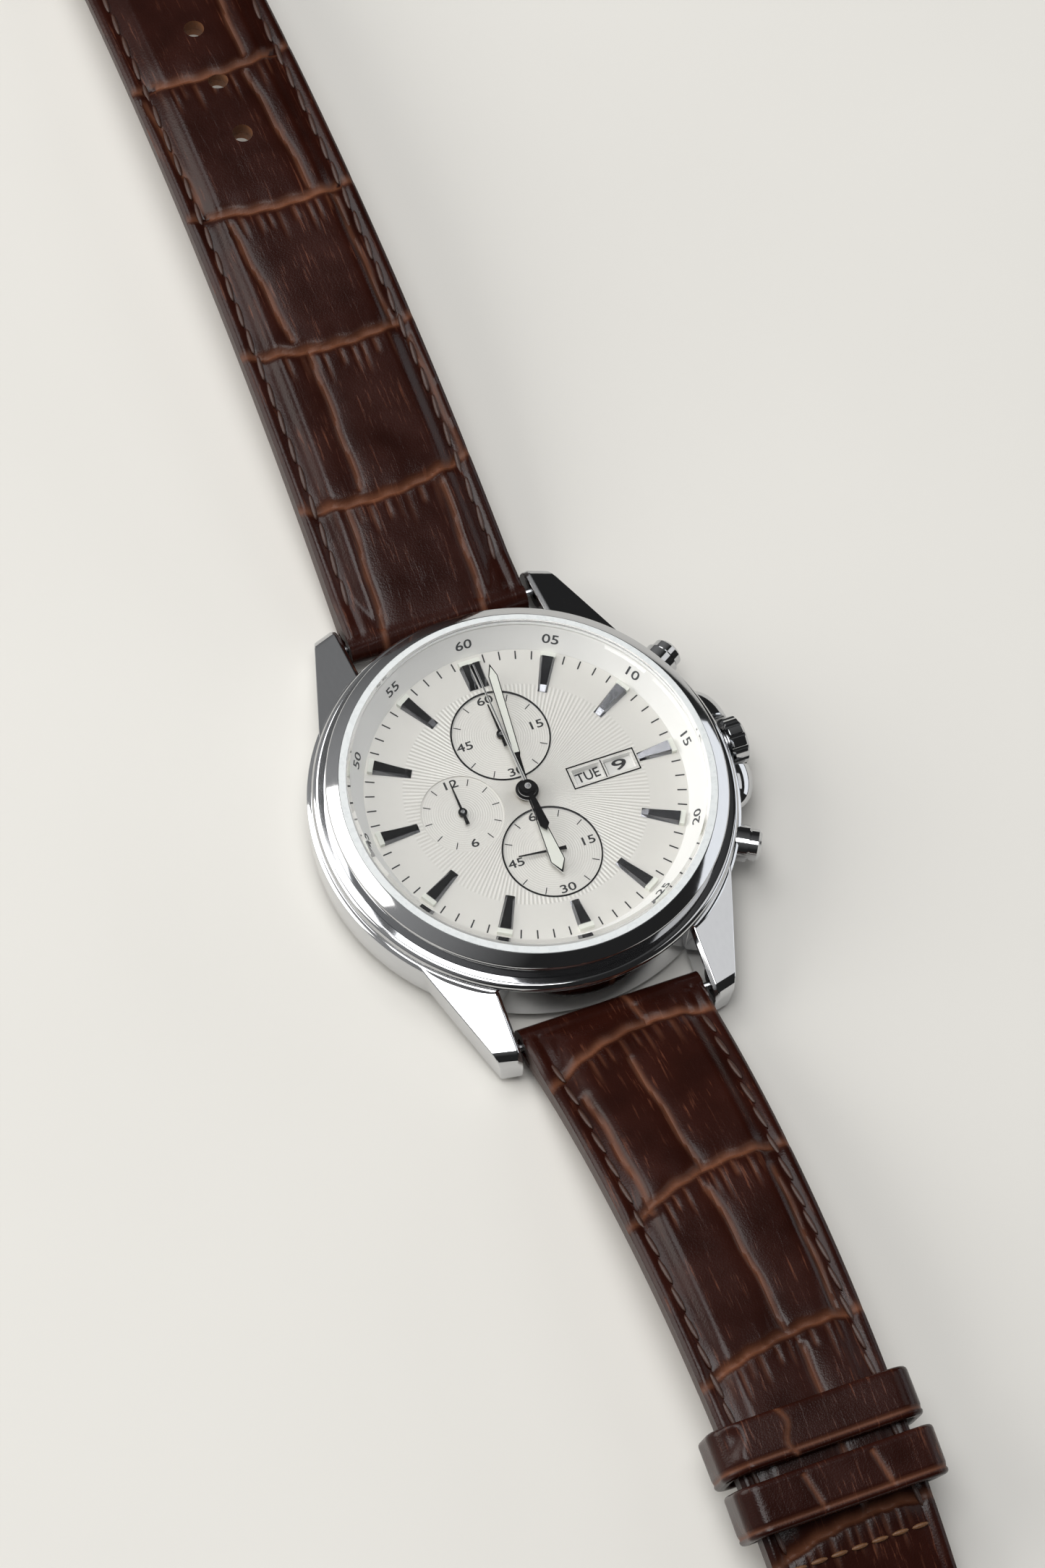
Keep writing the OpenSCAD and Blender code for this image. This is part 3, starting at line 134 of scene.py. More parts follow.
def mottled(name, dark, light, grain, rough, relief, stretch=(1, 1, 1), **constants):
    """A finish whose colour, gloss and relief all follow one grain, with its size in millimetres."""
    material, tree, shader = start(name, **constants)
    place = add(tree, "Mapping", {"Vector": add(tree, "TexCoord").outputs["Object"], "Scale": stretch})
    noise = add(tree, "TexNoise", {"Vector": place.outputs[0], "Scale": 1 / (grain * MM), "Detail": 4.0})
    grained(tree, shader, noise.outputs[0], dark, light, rough, relief)
    return material


def seen_from_above(tree):
    """The place on the watch without its height, and its distance from the watch's axis."""
    place = add(tree, "TexCoord").outputs["Object"]
    flat = add(tree, "VectorMath", {0: place, 1: (1, 1, 0)}, operation="MULTIPLY").outputs[0]
    return flat, add(tree, "VectorMath", {0: flat}, operation="LENGTH").outputs["Value"]


def finish_with(material, *names):
    for name in names:
        nodes[name].data.materials.clear()
        nodes[name].data.materials.append(material)
    print(material.name, "on", ", ".join(names))


# %% [markdown]
# ## The floor and the light
# A polished case shows the room more than itself, so the light is planned as a photographer plans it: a
# large soft box to the left, one overhead and one behind, two weaker ones to the right, and a darker
# room in front, which draws the black line round the lower bezel. The floor is a plain pale sheet that
# keeps the watch's shadow. Floor and boxes are large, so their sizes and distances are in metres.

# %% Floor, room and soft boxes
FLOOR_SIZE, FLOOR_Z = 4, -0.03 * MM


def pick(*chosen):
    """Selects these objects and no others, and makes the first one active."""
    for obj in bpy.context.selected_objects:
        obj.select_set(False)
    for obj in chosen:
        obj.select_set(True)
    if chosen:
        bpy.context.view_layer.objects.active = chosen[0]


pick()
bpy.ops.mesh.primitive_plane_add(size=FLOOR_SIZE, location=(0, 0, FLOOR_Z))
floor = bpy.context.object
floor.name = "floor"
floor.data.materials.append(mottled("pale_paper_sheet", "#d3d1cc", "#d7d5d0", 40, (0.85, 0.95), 0.02))

world = bpy.data.worlds.new("studio")
scene.world = world
world.use_nodes = True
sky = world.node_tree
direction = add(sky, "TexCoord").outputs["Generated"]
left = add(sky, "VectorMath", {0: direction, 1: (-0.80, 0.40, 0.45)}, operation="DOT_PRODUCT")
ramp = add(sky, "MapRange", {0: left.outputs["Value"], 1: 0.2, 2: 0.95, 3: 0.025, 4: 0.4})
wire(sky, sky.nodes["Background"], Color=ramp.outputs[0])


def soft_box(name, toward, distance, size, power, tint):
    lamp = bpy.data.lights.new(name, "AREA")
    lamp.shape = "RECTANGLE"
    lamp.size, lamp.size_y = size
    lamp.energy = power
    lamp.color = colour(tint)[:3]
    box = bpy.data.objects.new(name, lamp)
    scene.collection.objects.link(box)
    aim = Vector(toward).normalized()
    box.matrix_world = Matrix.Translation(aim * distance) @ aim.to_track_quat("Z", "Y").to_matrix().to_4x4()


soft_box("left_box", (-0.80, 0.36, 0.48), 0.9, (0.7, 0.6), 5.2, "#fffdf8")
soft_box("top_box", (-0.16, -0.10, 0.98), 1.0, (0.5, 0.46), 5.0, "#ffffff")
soft_box("side_box", (0.62, -0.06, 0.78), 1.0, (0.44, 0.42), 0.55, "#ffffff")
soft_box("back_box", (-0.17, 0.42, 0.89), 1.0, (0.54, 0.42), 2.9, "#ffffff")
soft_box("right_box", (0.95, -0.02, 0.27), 1.0, (0.95, 0.42), 1.7, "#f8fbff")
scene.view_settings.view_transform = "Standard"

# %% [markdown]
# ## Metals
# The case, bezel, crown and pushers are stainless steel, ground and then buffed to a mirror. What the
# eye gets from a buffed surface is a sharp reflection with hair-thin swirls in it, so a fine stretched
# noise moves the roughness a little. The case back is brushed in circles on a lathe, so its grain
# follows the radius and blurs what it mirrors. Real brush lines are finer than a picture shows, and are
# drawn as coarse as they need to show. The parts inside are plain turned steel, greyer and softer than
# the case, plated brass with a pale yellow sheen, and red-brown lacquered copper wire.

# %% Polished, brushed and plain metals
BRUSH_LINE = 0.12
polished = mottled("buffed_stainless_steel", "#c4c5c7", "#cbccce", 0.35, (0.045, 0.085), 0.0004,
                   (1, 0.3, 1), Metallic=1.0)
finish_with(polished, "crown", "start_pusher", "reset_pusher", "pusher_collars", "buckle_frame",
            "buckle_bar", "buckle_tongue")
turned_steel = mottled("turned_stainless_steel", "#b4b5b7", "#c2c3c5", 0.2, (0.2, 0.34), 0.001,
                       (1, 1, 6), Metallic=1.0)
finish_with(turned_steel, "crown_tube", "spring_bars", "stem", "battery", "battery_clamp",
            "movement_screws", "chrono_seconds_arbor", "chrono_minute_arbor", "chrono_hour_arbor",
            "small_seconds_arbor")
plated = mottled("plated_brass", "#b9995a", "#cbae70", 0.3, (0.22, 0.36), 0.002, Metallic=1.0)
finish_with(plated, "main_plate", "train_bridge", "hour_wheel", "cannon_pinion", "minute_wheel",
            "sliding_pinion")
copper = mottled("lacquered_copper_wire", "#7d3d1d", "#b4683a", 0.1, (0.25, 0.4), 0.02,
                 (8, 1, 1), Metallic=1.0)
finish_with(copper, "motor_coils")

brushed, tree, shader = start("circular_brushed_steel", Metallic=1.0)
radius = seen_from_above(tree)[1]
rings = add(tree, "TexNoise", {"W": radius, "Scale": 1 / (BRUSH_LINE * MM), "Detail": 3.0},
            noise_dimensions="1D")
grained(tree, shader, rings.outputs[0], "#b2b3b5", "#c9cacc", (0.22, 0.38), 0.004)
finish_with(brushed, "case_back")

# %% [markdown]
# ## Plastics, rubber and lacquer inside the case
# These pieces are moulded, stamped or printed. A moulded face shows a faint unevenness in its gloss and
# nothing else, so one grain drives all of them, with its size and depth set for each. Rubber is dull
# and black, the nylon seal is milky and lets some light in, acetal is white with a soft gloss, and the
# board shines green under its solder mask. Disc card is matt white, luminous paint is chalky, and black
# lacquer is smooth enough to glint.

# %% Seals, holder, board and lacquered parts
rubber = mottled("nitrile_rubber", "#121212", "#1d1d1d", 0.15, (0.6, 0.8), 0.01)
finish_with(rubber, "case_back_gasket", "pusher_seals", "crown_gasket")
nylon = mottled("clear_nylon_seal", "#cfd3d4", "#dde0e0", 0.6, (0.22, 0.34), 0.003,
                Subsurface_Weight=0.2, Subsurface_Radius=(MM, MM, MM))
finish_with(nylon, "crystal_gasket")
acetal = mottled("moulded_acetal", "#dadad6", "#e4e4e0", 0.5, (0.4, 0.55), 0.004)
finish_with(acetal, "movement_holder")
solder_mask = mottled("solder_mask_board", "#0f3a20", "#165030", 0.4, (0.25, 0.4), 0.004)
finish_with(solder_mask, "circuit_board")
disc_card = mottled("printed_disc_card", "#dcdbd7", "#e4e3e0", 0.3, (0.5, 0.62), 0.003)
finish_with(disc_card, "date_disc")
lume = mottled("luminous_paint", "#e6e8de", "#f1f2ea", 0.12, (0.55, 0.75), 0.012)
finish_with(lume, "marker_lume")
lacquer = mottled("black_lacquer", "#0b0b0c", "#141415", 0.2, (0.16, 0.26), 0.002)
finish_with(lacquer, "chrono_minute_hand", "chrono_hour_hand", "small_seconds_hand")

# %% [markdown]
# ## Hands and markers
# The hour and minute hands are thin frames with bright cut sides; their faces that look up are painted
# black, a painted dark reflection of the room, and the rest is silver. The seconds hand is bright, with
# a dark line painted along it as the shade in its groove, a black tail and a bright cap on its hub:
# there the colour follows the place on the hand, read from the object's own coordinates, so it turns
# with the hand. The rings round two counters are polished steel given a dark colour, a painted dark
# reflection, and read as thin lines that glint.

# %% Hands, markers and rings
UPWARD, SWIRL = 0.7, 0.15
TAIL_END, GROOVE_SHADE_IN, GROOVE_SHADE_OUT, CAP_R = 0.7, 0.02, 0.05, 0.33


def two_tone(name, mask, dark, light):
    """A polished metal in two colours, told apart by a mask that a function of its tree and place gives."""
    material, tree, shader = start(name, Metallic=0.35)
    place = add(tree, "TexCoord").outputs["Object"]
    swirl = add(tree, "TexNoise", {"Vector": place, "Scale": 1 / (SWIRL * MM), "Detail": 3.0})
    gloss = add(tree, "MapRange", {0: swirl.outputs[0], 3: 0.14, 4: 0.24})
    blend = add(tree, "Mix", {0: mask(tree, place), 6: colour(dark), 7: colour(light)}, data_type="RGBA")
    wire(tree, shader, Base_Color=blend.outputs[2], Roughness=gloss.outputs[0])
    return material


# Faces that look up get the dark colour, a painted dark reflection of the room; the other faces stay
# silver.
def cut_sides(tree, place):
    upward = add(tree, "SeparateXYZ", {0: add(tree, "NewGeometry").outputs["True Normal"]}).outputs["Z"]
    return add(tree, "Math", {0: upward, 1: UPWARD}, operation="LESS_THAN").outputs[0]


# Bright on the arm and the cap; the thin dark line along the arm's middle is painted shade of its groove.
def sweep_rims(tree, place):
    axes = add(tree, "SeparateXYZ", {0: place})
    ahead = add(tree, "Math", {0: axes.outputs["Y"], 1: TAIL_END * MM}, operation="GREATER_THAN")
    aside = add(tree, "Math", {0: axes.outputs["X"]}, operation="ABSOLUTE")
    groove = add(tree, "MapRange", {0: aside.outputs[0], 1: GROOVE_SHADE_IN * MM, 2: GROOVE_SHADE_OUT * MM})
    arm = add(tree, "Math", {0: ahead.outputs[0], 1: groove.outputs[0]}, operation="MULTIPLY")
    cap = add(tree, "Math", {0: seen_from_above(tree)[1], 1: CAP_R * MM}, operation="LESS_THAN")
    return add(tree, "Math", {0: arm.outputs[0], 1: cap.outputs[0]}, operation="MAXIMUM").outputs[0]


finish_with(two_tone("hand_with_painted_dark_reflection_on_top", cut_sides, "#0c0c0e", "#e4e4e4"),
            "hour_hand", "minute_hand")
finish_with(two_tone("bright_sweep_hand_painted_groove_shade", sweep_rims, "#0c0c0e", "#d9d9d7"), "chrono_seconds_hand")
# The rings' dark colour is a painted dark reflection of the room on polished steel.
ring_steel_painted_dark = mottled("polished_ring_painted_dark", "#55565a", "#66676b", 0.2, (0.08, 0.16), 0.001, Metallic=1.0)
finish_with(ring_steel_painted_dark, "subdial_rings")

# %% [markdown]
# ## The crystal
# The window is flat mineral glass with an anti-glare coat, so it mirrors little, and its rim is ground
# matt. Light from a lamp can't find its way through a refracting solid, and the dial would go dark, so
# the glass is mixed with a plain transparent shader for shadow rays and for light that bounces off the
# dial.

# %% Mineral glass
SMUDGE, RIM_IN, RIM_OUT = 3, 18.0, 18.08
glass, tree, shader = start("coated_mineral_glass", Transmission_Weight=1.0, IOR=1.5,
                            Specular_IOR_Level=0.1)
place = add(tree, "TexCoord").outputs["Object"]
smudge = add(tree, "TexNoise", {"Vector": place, "Scale": 1 / (SMUDGE * MM)})
film = add(tree, "MapRange", {0: smudge.outputs[0], 3: 0.0, 4: 0.012})
radius = seen_from_above(tree)[1]
ground = add(tree, "MapRange", {0: radius, 1: RIM_IN * MM, 2: RIM_OUT * MM, 3: 0.0, 4: 0.7})
wire(tree, shader, Roughness=add(tree, "Math", {0: film.outputs[0], 1: ground.outputs[0]}).outputs[0])
path = add(tree, "LightPath").outputs
passing = add(tree, "Math", {0: path["Is Shadow Ray"], 1: path["Is Diffuse Ray"]}, operation="MAXIMUM")
clear = add(tree, "BsdfTransparent", {"Color": (0.98, 0.985, 0.985, 1)})
mixed = add(tree, "MixShader", {0: passing.outputs[0], 1: shader.outputs[0], 2: clear.outputs[0]})
wire(tree, tree.nodes["Material Output"], Surface=mixed.outputs[0])
finish_with(glass, "crystal")

# %% [markdown]
# ## The dial
# The dial is a brass disc, silvered and then stamped with rays from its middle out to a plain outer
# ring. Each sunken counter is cut with fine circles, as on a lathe. Rays and circles are sine waves of
# the angle and of the distance from a centre, so they stay crisp at any zoom, and masks keep each to
# its own ground. Real circles lie closer, and are drawn as coarse as they need to show. The flange's
# paint is an even white.

# %% Silvered dial with rays and circles
RAYS, RAY_END = 180, 12.3
COUNTER_AT, CIRCLE_STEP, CIRCLE_SHARE = 6.85, 0.24, 0.35
COUNTERS = [((0, COUNTER_AT), 5.05), ((0, -COUNTER_AT), 5.05), ((-COUNTER_AT, 0), 4.2)]
DUST = 0.08
dial_finish, tree, shader = start("silvered_stamped_dial", Metallic=0.15)
flat, middle = seen_from_above(tree)
axes = add(tree, "SeparateXYZ", {0: flat})
angle = add(tree, "Math", {0: axes.outputs["Y"], 1: axes.outputs["X"]}, operation="ARCTAN2")
turn = add(tree, "Math", {0: angle.outputs[0], 1: float(RAYS)}, operation="MULTIPLY")
wave = add(tree, "Math", {0: turn.outputs[0]}, operation="SINE").outputs[0]
ray_ground = add(tree, "Math", {0: middle, 1: RAY_END * MM}, operation="LESS_THAN").outputs[0]
circles, circle_rate = None, 2 * math.pi / (CIRCLE_STEP * MM)
for (cx, cy), edge in COUNTERS:
    centre = (cx * MM, cy * MM, 0)
    gap = add(tree, "VectorMath", {0: flat, 1: centre}, operation="DISTANCE").outputs["Value"]
    outside = add(tree, "Math", {0: gap, 1: edge * MM}, operation="GREATER_THAN").outputs[0]
    ray_ground = add(tree, "Math", {0: ray_ground, 1: outside}, operation="MULTIPLY").outputs[0]
    ripple = add(tree, "Math", {0: gap, 1: circle_rate}, operation="MULTIPLY").outputs[0]
    ring_wave = add(tree, "Math", {0: ripple}, operation="SINE").outputs[0]
    inside = add(tree, "Math", {0: gap, 1: edge * MM}, operation="LESS_THAN").outputs[0]
    cut = add(tree, "Math", {0: ring_wave, 1: inside}, operation="MULTIPLY").outputs[0]
    circles = cut if circles is None else add(tree, "Math", {0: circles, 1: cut}).outputs[0]
rays = add(tree, "Math", {0: wave, 1: ray_ground}, operation="MULTIPLY").outputs[0]
quiet = add(tree, "Math", {0: circles, 1: CIRCLE_SHARE}, operation="MULTIPLY").outputs[0]
relief = add(tree, "Math", {0: rays, 1: quiet}).outputs[0]
shade = add(tree, "MapRange", {0: relief, 1: -1.0, 2: 1.0})
tone = add(tree, "Mix", {0: shade.outputs[0], 6: colour("#d2cfc9"), 7: colour("#e6e4df")}, data_type="RGBA")
place = add(tree, "TexCoord").outputs["Object"]
dust = add(tree, "TexNoise", {"Vector": place, "Scale": 1 / (DUST * MM)})
gloss = add(tree, "MapRange", {0: dust.outputs[0], 3: 0.38, 4: 0.5})
bump = add(tree, "Bump", {"Height": relief, "Distance": 0.02 * MM, "Strength": 0.6})
wire(tree, shader, Base_Color=tone.outputs[2], Roughness=gloss.outputs[0], Normal=bump.outputs[0])
finish_with(dial_finish, "dial")
flange_paint = mottled("white_flange_paint", "#f8f7f4", "#fcfbf9", 0.4, (0.4, 0.5), 0.003)
finish_with(flange_paint, "flange_ring")

# %% [markdown]
# ## The bezel
# The bezel is turned from bar as a cone on an upright wall, and buffed. A mirror shows every facet of a
# coarse shape, so its profile is drawn as a strip of edges and spun round the watch's axis in fine
# steps, as a lathe does it.

# %% Spin the bezel
BEZEL_LOW, BEZEL_TOP, BEZEL_STEPS = 8.02, 10.95, 240
BEZEL_OUT, BEZEL_BORE, BEZEL_LIP = 20.1, 18.85, 18.15
BEZEL_SLOPE, BEZEL_ROUND, SEAL_FOOT = math.radians(35), 0.3, 9.5
FOOT_EASE, BORE_EASE = 0.1, [(0.1, 0.08), (0.03, 0.04), (0, 0.12)]


def edit_all():
    bpy.ops.object.mode_set(mode="EDIT")
    bpy.ops.mesh.select_all(action="SELECT")


def tidy_mesh(obj, merge=0.002):
    """Merges doubles, turns all faces outwards and leaves edit mode."""
    bpy.ops.mesh.select_all(action="SELECT")
    bpy.ops.mesh.remove_doubles(threshold=merge * MM)
    bpy.ops.mesh.normals_make_consistent(inside=False)
    bpy.ops.object.mode_set(mode="OBJECT")
    return obj


def spun(name, profile, steps):
    """Draws (radius, height) points as a closed strip of edges and spins it round the watch's axis."""
    pick()
    bpy.ops.mesh.primitive_circle_add(vertices=len(profile), radius=MM)
    obj = bpy.context.object
    obj.name = name
    for vertex, (radius, height) in zip(obj.data.vertices, profile):
        vertex.co = (radius * MM, 0, height * MM)
    edit_all()
    bpy.ops.mesh.spin(steps=steps, angle=2 * math.pi, center=(0, 0, 0), axis=(0, 0, 1))
    return tidy_mesh(obj)


def smooth(degrees):
    """Shades the selected piece smoothly across all edges but those that are sharper than an angle."""
    bpy.ops.object.shade_smooth_by_angle(angle=math.radians(degrees))


def dress(obj, body, slot, *replaced):
    """Says which body a piece rides on and which CAD nodes it stands for; the slot argument is not used."""
    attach(obj, body)
    for node in replaced:
        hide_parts(node)
    print(obj.name, len(obj.data.polygons), "faces on", body)


edge_x = BEZEL_OUT - BEZEL_ROUND
edge_fall = (BEZEL_ROUND + (edge_x - BEZEL_BORE) * math.sin(BEZEL_SLOPE)) / math.cos(BEZEL_SLOPE)
edge_z = BEZEL_TOP - edge_fall
bezel_profile = [(BEZEL_LIP, BEZEL_LOW), (BEZEL_OUT - FOOT_EASE, BEZEL_LOW)]
bezel_profile += [(BEZEL_OUT, BEZEL_LOW + FOOT_EASE)]
for i in range(13):
    angle = (math.pi / 2 - BEZEL_SLOPE) * i / 12
    bezel_profile.append((edge_x + BEZEL_ROUND * math.cos(angle), edge_z + BEZEL_ROUND * math.sin(angle)))
bezel_profile += [(BEZEL_BORE + out, BEZEL_TOP - down) for out, down in BORE_EASE]
bezel_profile += [(BEZEL_BORE, SEAL_FOOT), (BEZEL_LIP, SEAL_FOOT)]
bezel = spun("bezel_turned", bezel_profile, BEZEL_STEPS)
smooth(25)
bezel.data.materials.append(polished)
dress(bezel, "case", "steel_polished", "bezel")

# %% [markdown]
# ## The case
# The case middle is forged, ground and buffed, and a buffed edge is never sharp. Its band is spun like
# the bezel, with a bead, a narrow brow and a flank that bulges a little. Between the lugs it is ground
# back to make room for the strap, so the points there are drawn in to a smaller radius.

# %% Spin the case band
BAND_R, GAP_R, LUG_IN, BROW_Z, BAND_STEPS = 21.7, 21.0, 10.2, 6.75, 300
CASE_BORE, CASE_FOOT, CASE_LOW, CASE_TOP = 17.6, 20.9, 1.5, 8.0
BACK_SEAT_R, BACK_SEAT_Z = 17.9, 2.7
FLANK_R, FLANK_LOW, FLANK_HIGH, BULGE = 21.1, 1.7, 4.7, 0.4
BEAD_X, BEAD_Z, BEAD_R, BEAD_FOOT, BEAD_START = 20.675, 7.375, 0.625, 20.96, -1.1
BROW_EASE = [(0.04, 6.5), (0.15, 6.59), (0.4, 6.73), (0.5, BROW_Z)]
band_profile = [(CASE_BORE, BACK_SEAT_Z), (BACK_SEAT_R, BACK_SEAT_Z), (BACK_SEAT_R, CASE_LOW)]
band_profile += [(CASE_FOOT, CASE_LOW)]
for t in np.linspace(0, 1, 9):
    flank_x = FLANK_R + (BAND_R - FLANK_R) * t + BULGE * t * (1 - t)
    band_profile.append((flank_x, FLANK_LOW + FLANK_HIGH * t))
band_profile += [(BAND_R - back, height) for back, height in BROW_EASE] + [(BEAD_FOOT, BROW_Z)]
for a in np.linspace(BEAD_START, math.pi / 2, 16):
    band_profile.append((BEAD_X + BEAD_R * math.cos(a), BEAD_Z + BEAD_R * math.sin(a)))
band_profile += [(CASE_BORE, CASE_TOP)]
band = spun("case_band", band_profile, BAND_STEPS)
for vertex in band.data.vertices:
    reach = vertex.co.xy.length
    between_lugs = abs(vertex.co.x) < (LUG_IN + 0.3) * MM
    if between_lugs and vertex.co.z < (BROW_Z + 0.01) * MM and reach > GAP_R * MM:
        vertex.co.xy = vertex.co.xy * GAP_R * MM / reach
smooth(20)
print("case band:", len(band.data.polygons), "faces")

# %% [markdown]
# A lug is a block with the lug's outline from above. One plane cuts each ground face: the top, which
# falls to the tip and to the outer edge, the flank, the underside and the heel. Then its edges are
# broken: a flat chamfer along the inner edge, a large round at the end, and a fine bevel on the rest.
# The finished lug is mirrored to four corners.

# %% Cut the lugs
LUG_FOOT, LUG_HIGH = 0.7, 6
LUG_PLAN = [(LUG_IN, 11.75), (LUG_IN, 25.7), (12.9, 24.9), (16.75, 13.32), (13.4, 10.66)]
LUG_PLANES = [((LUG_IN, 18.64, 6.7), (0.192, 0.24, 1)), ((16.75, 13.32, 6.5), (0.942, 0.313, -0.119)),
              ((0, 23.5, LUG_FOOT), (0, -0.25, -1)), ((0, 25.7, 1.5), (0, 1, -1))]
CHAMFER, CHAMFER_Z = 0.4, 4.8
END_ROUND, END_Y, END_Z = 1.3, 24.4, 4.2
FINE_BEVEL = 0.13


def choose(obj, kind, passes):
    """Selects the edges or faces of a mesh that pass a test, and stays in edit mode."""
    bpy.ops.object.mode_set(mode="EDIT")
    bpy.ops.mesh.select_mode(type=kind)
    bpy.ops.mesh.select_all(action="DESELECT")
    bpy.ops.object.mode_set(mode="OBJECT")
    for item in obj.data.edges if kind == "EDGE" else obj.data.polygons:
        item.select = passes(item)
    bpy.ops.object.mode_set(mode="EDIT")


def break_edges(obj, width, steps, chosen):
    """Bevels the edges whose two ends, in millimetres, pass a test."""
    ends = obj.data.vertices
    choose(obj, "EDGE", lambda edge: all(chosen(*(ends[i].co / MM)) for i in edge.vertices))
    bpy.ops.mesh.bevel(offset=width * MM, segments=steps, affect="EDGES")
    bpy.ops.mesh.select_mode(type="VERT")
    return tidy_mesh(obj)


def cut_with(place, facing):
    """Cuts off all that lies in front of a plane, and closes the cut."""
    bpy.ops.mesh.select_all(action="SELECT")
    bpy.ops.mesh.bisect(plane_co=Vector(place) * MM, plane_no=facing, use_fill=True, clear_outer=True,
                        threshold=1e-7)


def plate(outline, low, thick):
    """Draws (x, y) points as a face at a height, extrudes it upwards and stays in edit mode."""
    pick()
    bpy.ops.mesh.primitive_circle_add(vertices=len(outline), radius=MM, fill_type="NGON")
    obj = bpy.context.object
    for vertex, (x, y) in zip(obj.data.vertices, outline):
        vertex.co = Vector((x, y, low)) * MM
    edit_all()
    bpy.ops.mesh.extrude_region_move(TRANSFORM_OT_translate={"value": (0, 0, thick * MM)})
    return obj


lug = plate(LUG_PLAN, LUG_FOOT, LUG_HIGH)
for place, facing in LUG_PLANES:
    cut_with(place, facing)
tidy_mesh(lug)
break_edges(lug, CHAMFER, 1, lambda x, y, z: x < LUG_IN + 0.01 and z > CHAMFER_Z)
break_edges(lug, END_ROUND, 20, lambda x, y, z: y > END_Y and z > END_Z)
rounding = lug.modifiers.new("buffed edges", "BEVEL")
rounding.width, rounding.segments = FINE_BEVEL * MM, 3
rounding.limit_method, rounding.angle_limit = "ANGLE", math.radians(30)
bpy.ops.object.modifier_apply(modifier=rounding.name)
smooth(8)
corners = []
for across, along in ((1, 1), (-1, 1), (1, -1), (-1, -1)):
    corner = bpy.data.objects.new("lug_corner", lug.data.copy())
    scene.collection.objects.link(corner)
    corner.data.transform(Matrix.Diagonal((across, along, 1, 1)))
    if across * along < 0:
        corner.data.flip_normals()
    corners.append(corner)
bpy.data.objects.remove(lug)
print("lugs:", len(corners), "with", len(corners[0].data.polygons), "faces each")

# %% [markdown]
# Two soft shoulders guard the crown. Each is half an egg: a sphere stretched along the band and cut
# flat beside the crown. Band, lugs and shoulders then become one object. Their shells run into each
# other, which a renderer takes as one surface.

# %% Crown shoulders, and join the case
SHOULDER_SIZE, SHOULDER_CUT, SHOULDER_EDGE = (2.95, 4.2, 1.9), 2.85, 0.15
SHOULDER_X, SHOULDER_Y, SHOULDER_Z = 20.4, 2.8, 4.5


def joined(name, group, finish, body, slot, *replaced):
    """Joins pieces into one, and gives it its name, finish and place in the assembly."""
    pick(*group)
    bpy.ops.object.join()
    obj = bpy.context.object
    obj.name = name
    obj.data.materials.clear()
    obj.data.materials.append(finish)
    dress(obj, body, slot, *replaced)
    return obj


shoulders = []
for side in (-1, 1):
    pick()
    bpy.ops.mesh.primitive_uv_sphere_add(segments=64, ring_count=32, radius=MM)
    shoulder = bpy.context.object
    place = Matrix.Translation(Vector((SHOULDER_X, side * SHOULDER_Y, SHOULDER_Z)) * MM)
    shoulder.data.transform(place @ Matrix.Diagonal((*SHOULDER_SIZE, 1)))
    bpy.ops.object.mode_set(mode="EDIT")
    cut_with((0, side * SHOULDER_CUT, 0), (0, -side, 0))
    tidy_mesh(shoulder)
    break_edges(shoulder, SHOULDER_EDGE, 3, lambda x, y, z: abs(y) < SHOULDER_CUT + 0.01)
    smooth(40)
    shoulders.append(shoulder)
joined("case_buffed", [band, *corners, *shoulders], polished, "case", "steel_polished", "case_middle")

# %% [markdown]
# ## Return springs
# Each pusher stands on a coil of spring wire, hidden in its collar. The coil is a small circle of wire
# wound up by a Screw modifier and capped at both ends. A pressed pusher shortens it.

# %% Wind the two coils
COIL_FLOOR, COIL_TOP, COIL_R, COIL_SLACK = 19.2, 22.15, 1.125, 0.02
WIRE_R, WIRE_SIDES, TURNS, TURN_STEPS, PUSH = 0.11, 8, 4, 24, 1.0
PUSHER_Z, PUSHER_ANGLE = 5, math.radians(29.5)
rise = COIL_TOP - COIL_FLOOR - 2 * WIRE_R - 2 * COIL_SLACK
for name, angle in (("start", PUSHER_ANGLE), ("reset", -PUSHER_ANGLE)):
    pick()
    wire_z = COIL_FLOOR + WIRE_R + COIL_SLACK
    bpy.ops.mesh.primitive_circle_add(vertices=WIRE_SIDES, radius=WIRE_R * MM,
                                      rotation=(math.pi / 2, 0, 0),
                                      location=(COIL_R * MM, 0, wire_z * MM))
    coil = bpy.context.object
    coil.name = name + "_pusher_coil"
    bpy.ops.object.transform_apply(location=True, rotation=True, scale=True)
    wind = coil.modifiers.new("wind", "SCREW")
    wind.iterations = TURNS
    wind.screw_offset = rise / TURNS * MM
    wind.steps = wind.render_steps = TURN_STEPS
    bpy.ops.object.modifier_apply(modifier="wind")
    edit_all()
    bpy.ops.mesh.fill_holes(sides=0)
    tidy_mesh(coil)
    axis_height = Vector((0, 0, PUSHER_Z * MM))
    lay_down = Matrix.Translation(axis_height) @ Matrix.Rotation(math.pi / 2, 4, "Y")
    coil.data.transform(Matrix.Rotation(angle, 4, "Z") @ lay_down)
    smooth(60)
    coil.data.materials.append(turned_steel)
    dress(coil, "case", "steel_plain", name + "_pusher_spring")
    outward = Vector((math.cos(angle), math.sin(angle), 0))
    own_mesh(coil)

# %% [markdown]
# ## Hour markers
# Each marker is a small steel bar with bevelled sides, polished with diamond. Its top falls towards the
# middle of the dial, so each one mirrors another part of the room: some flash and others stay black. A
# grid is extruded into a slab, and its points are moved to the bar's section at three places along it.
# Twelve o'clock has two bars, and the bars at three and six are cut short.

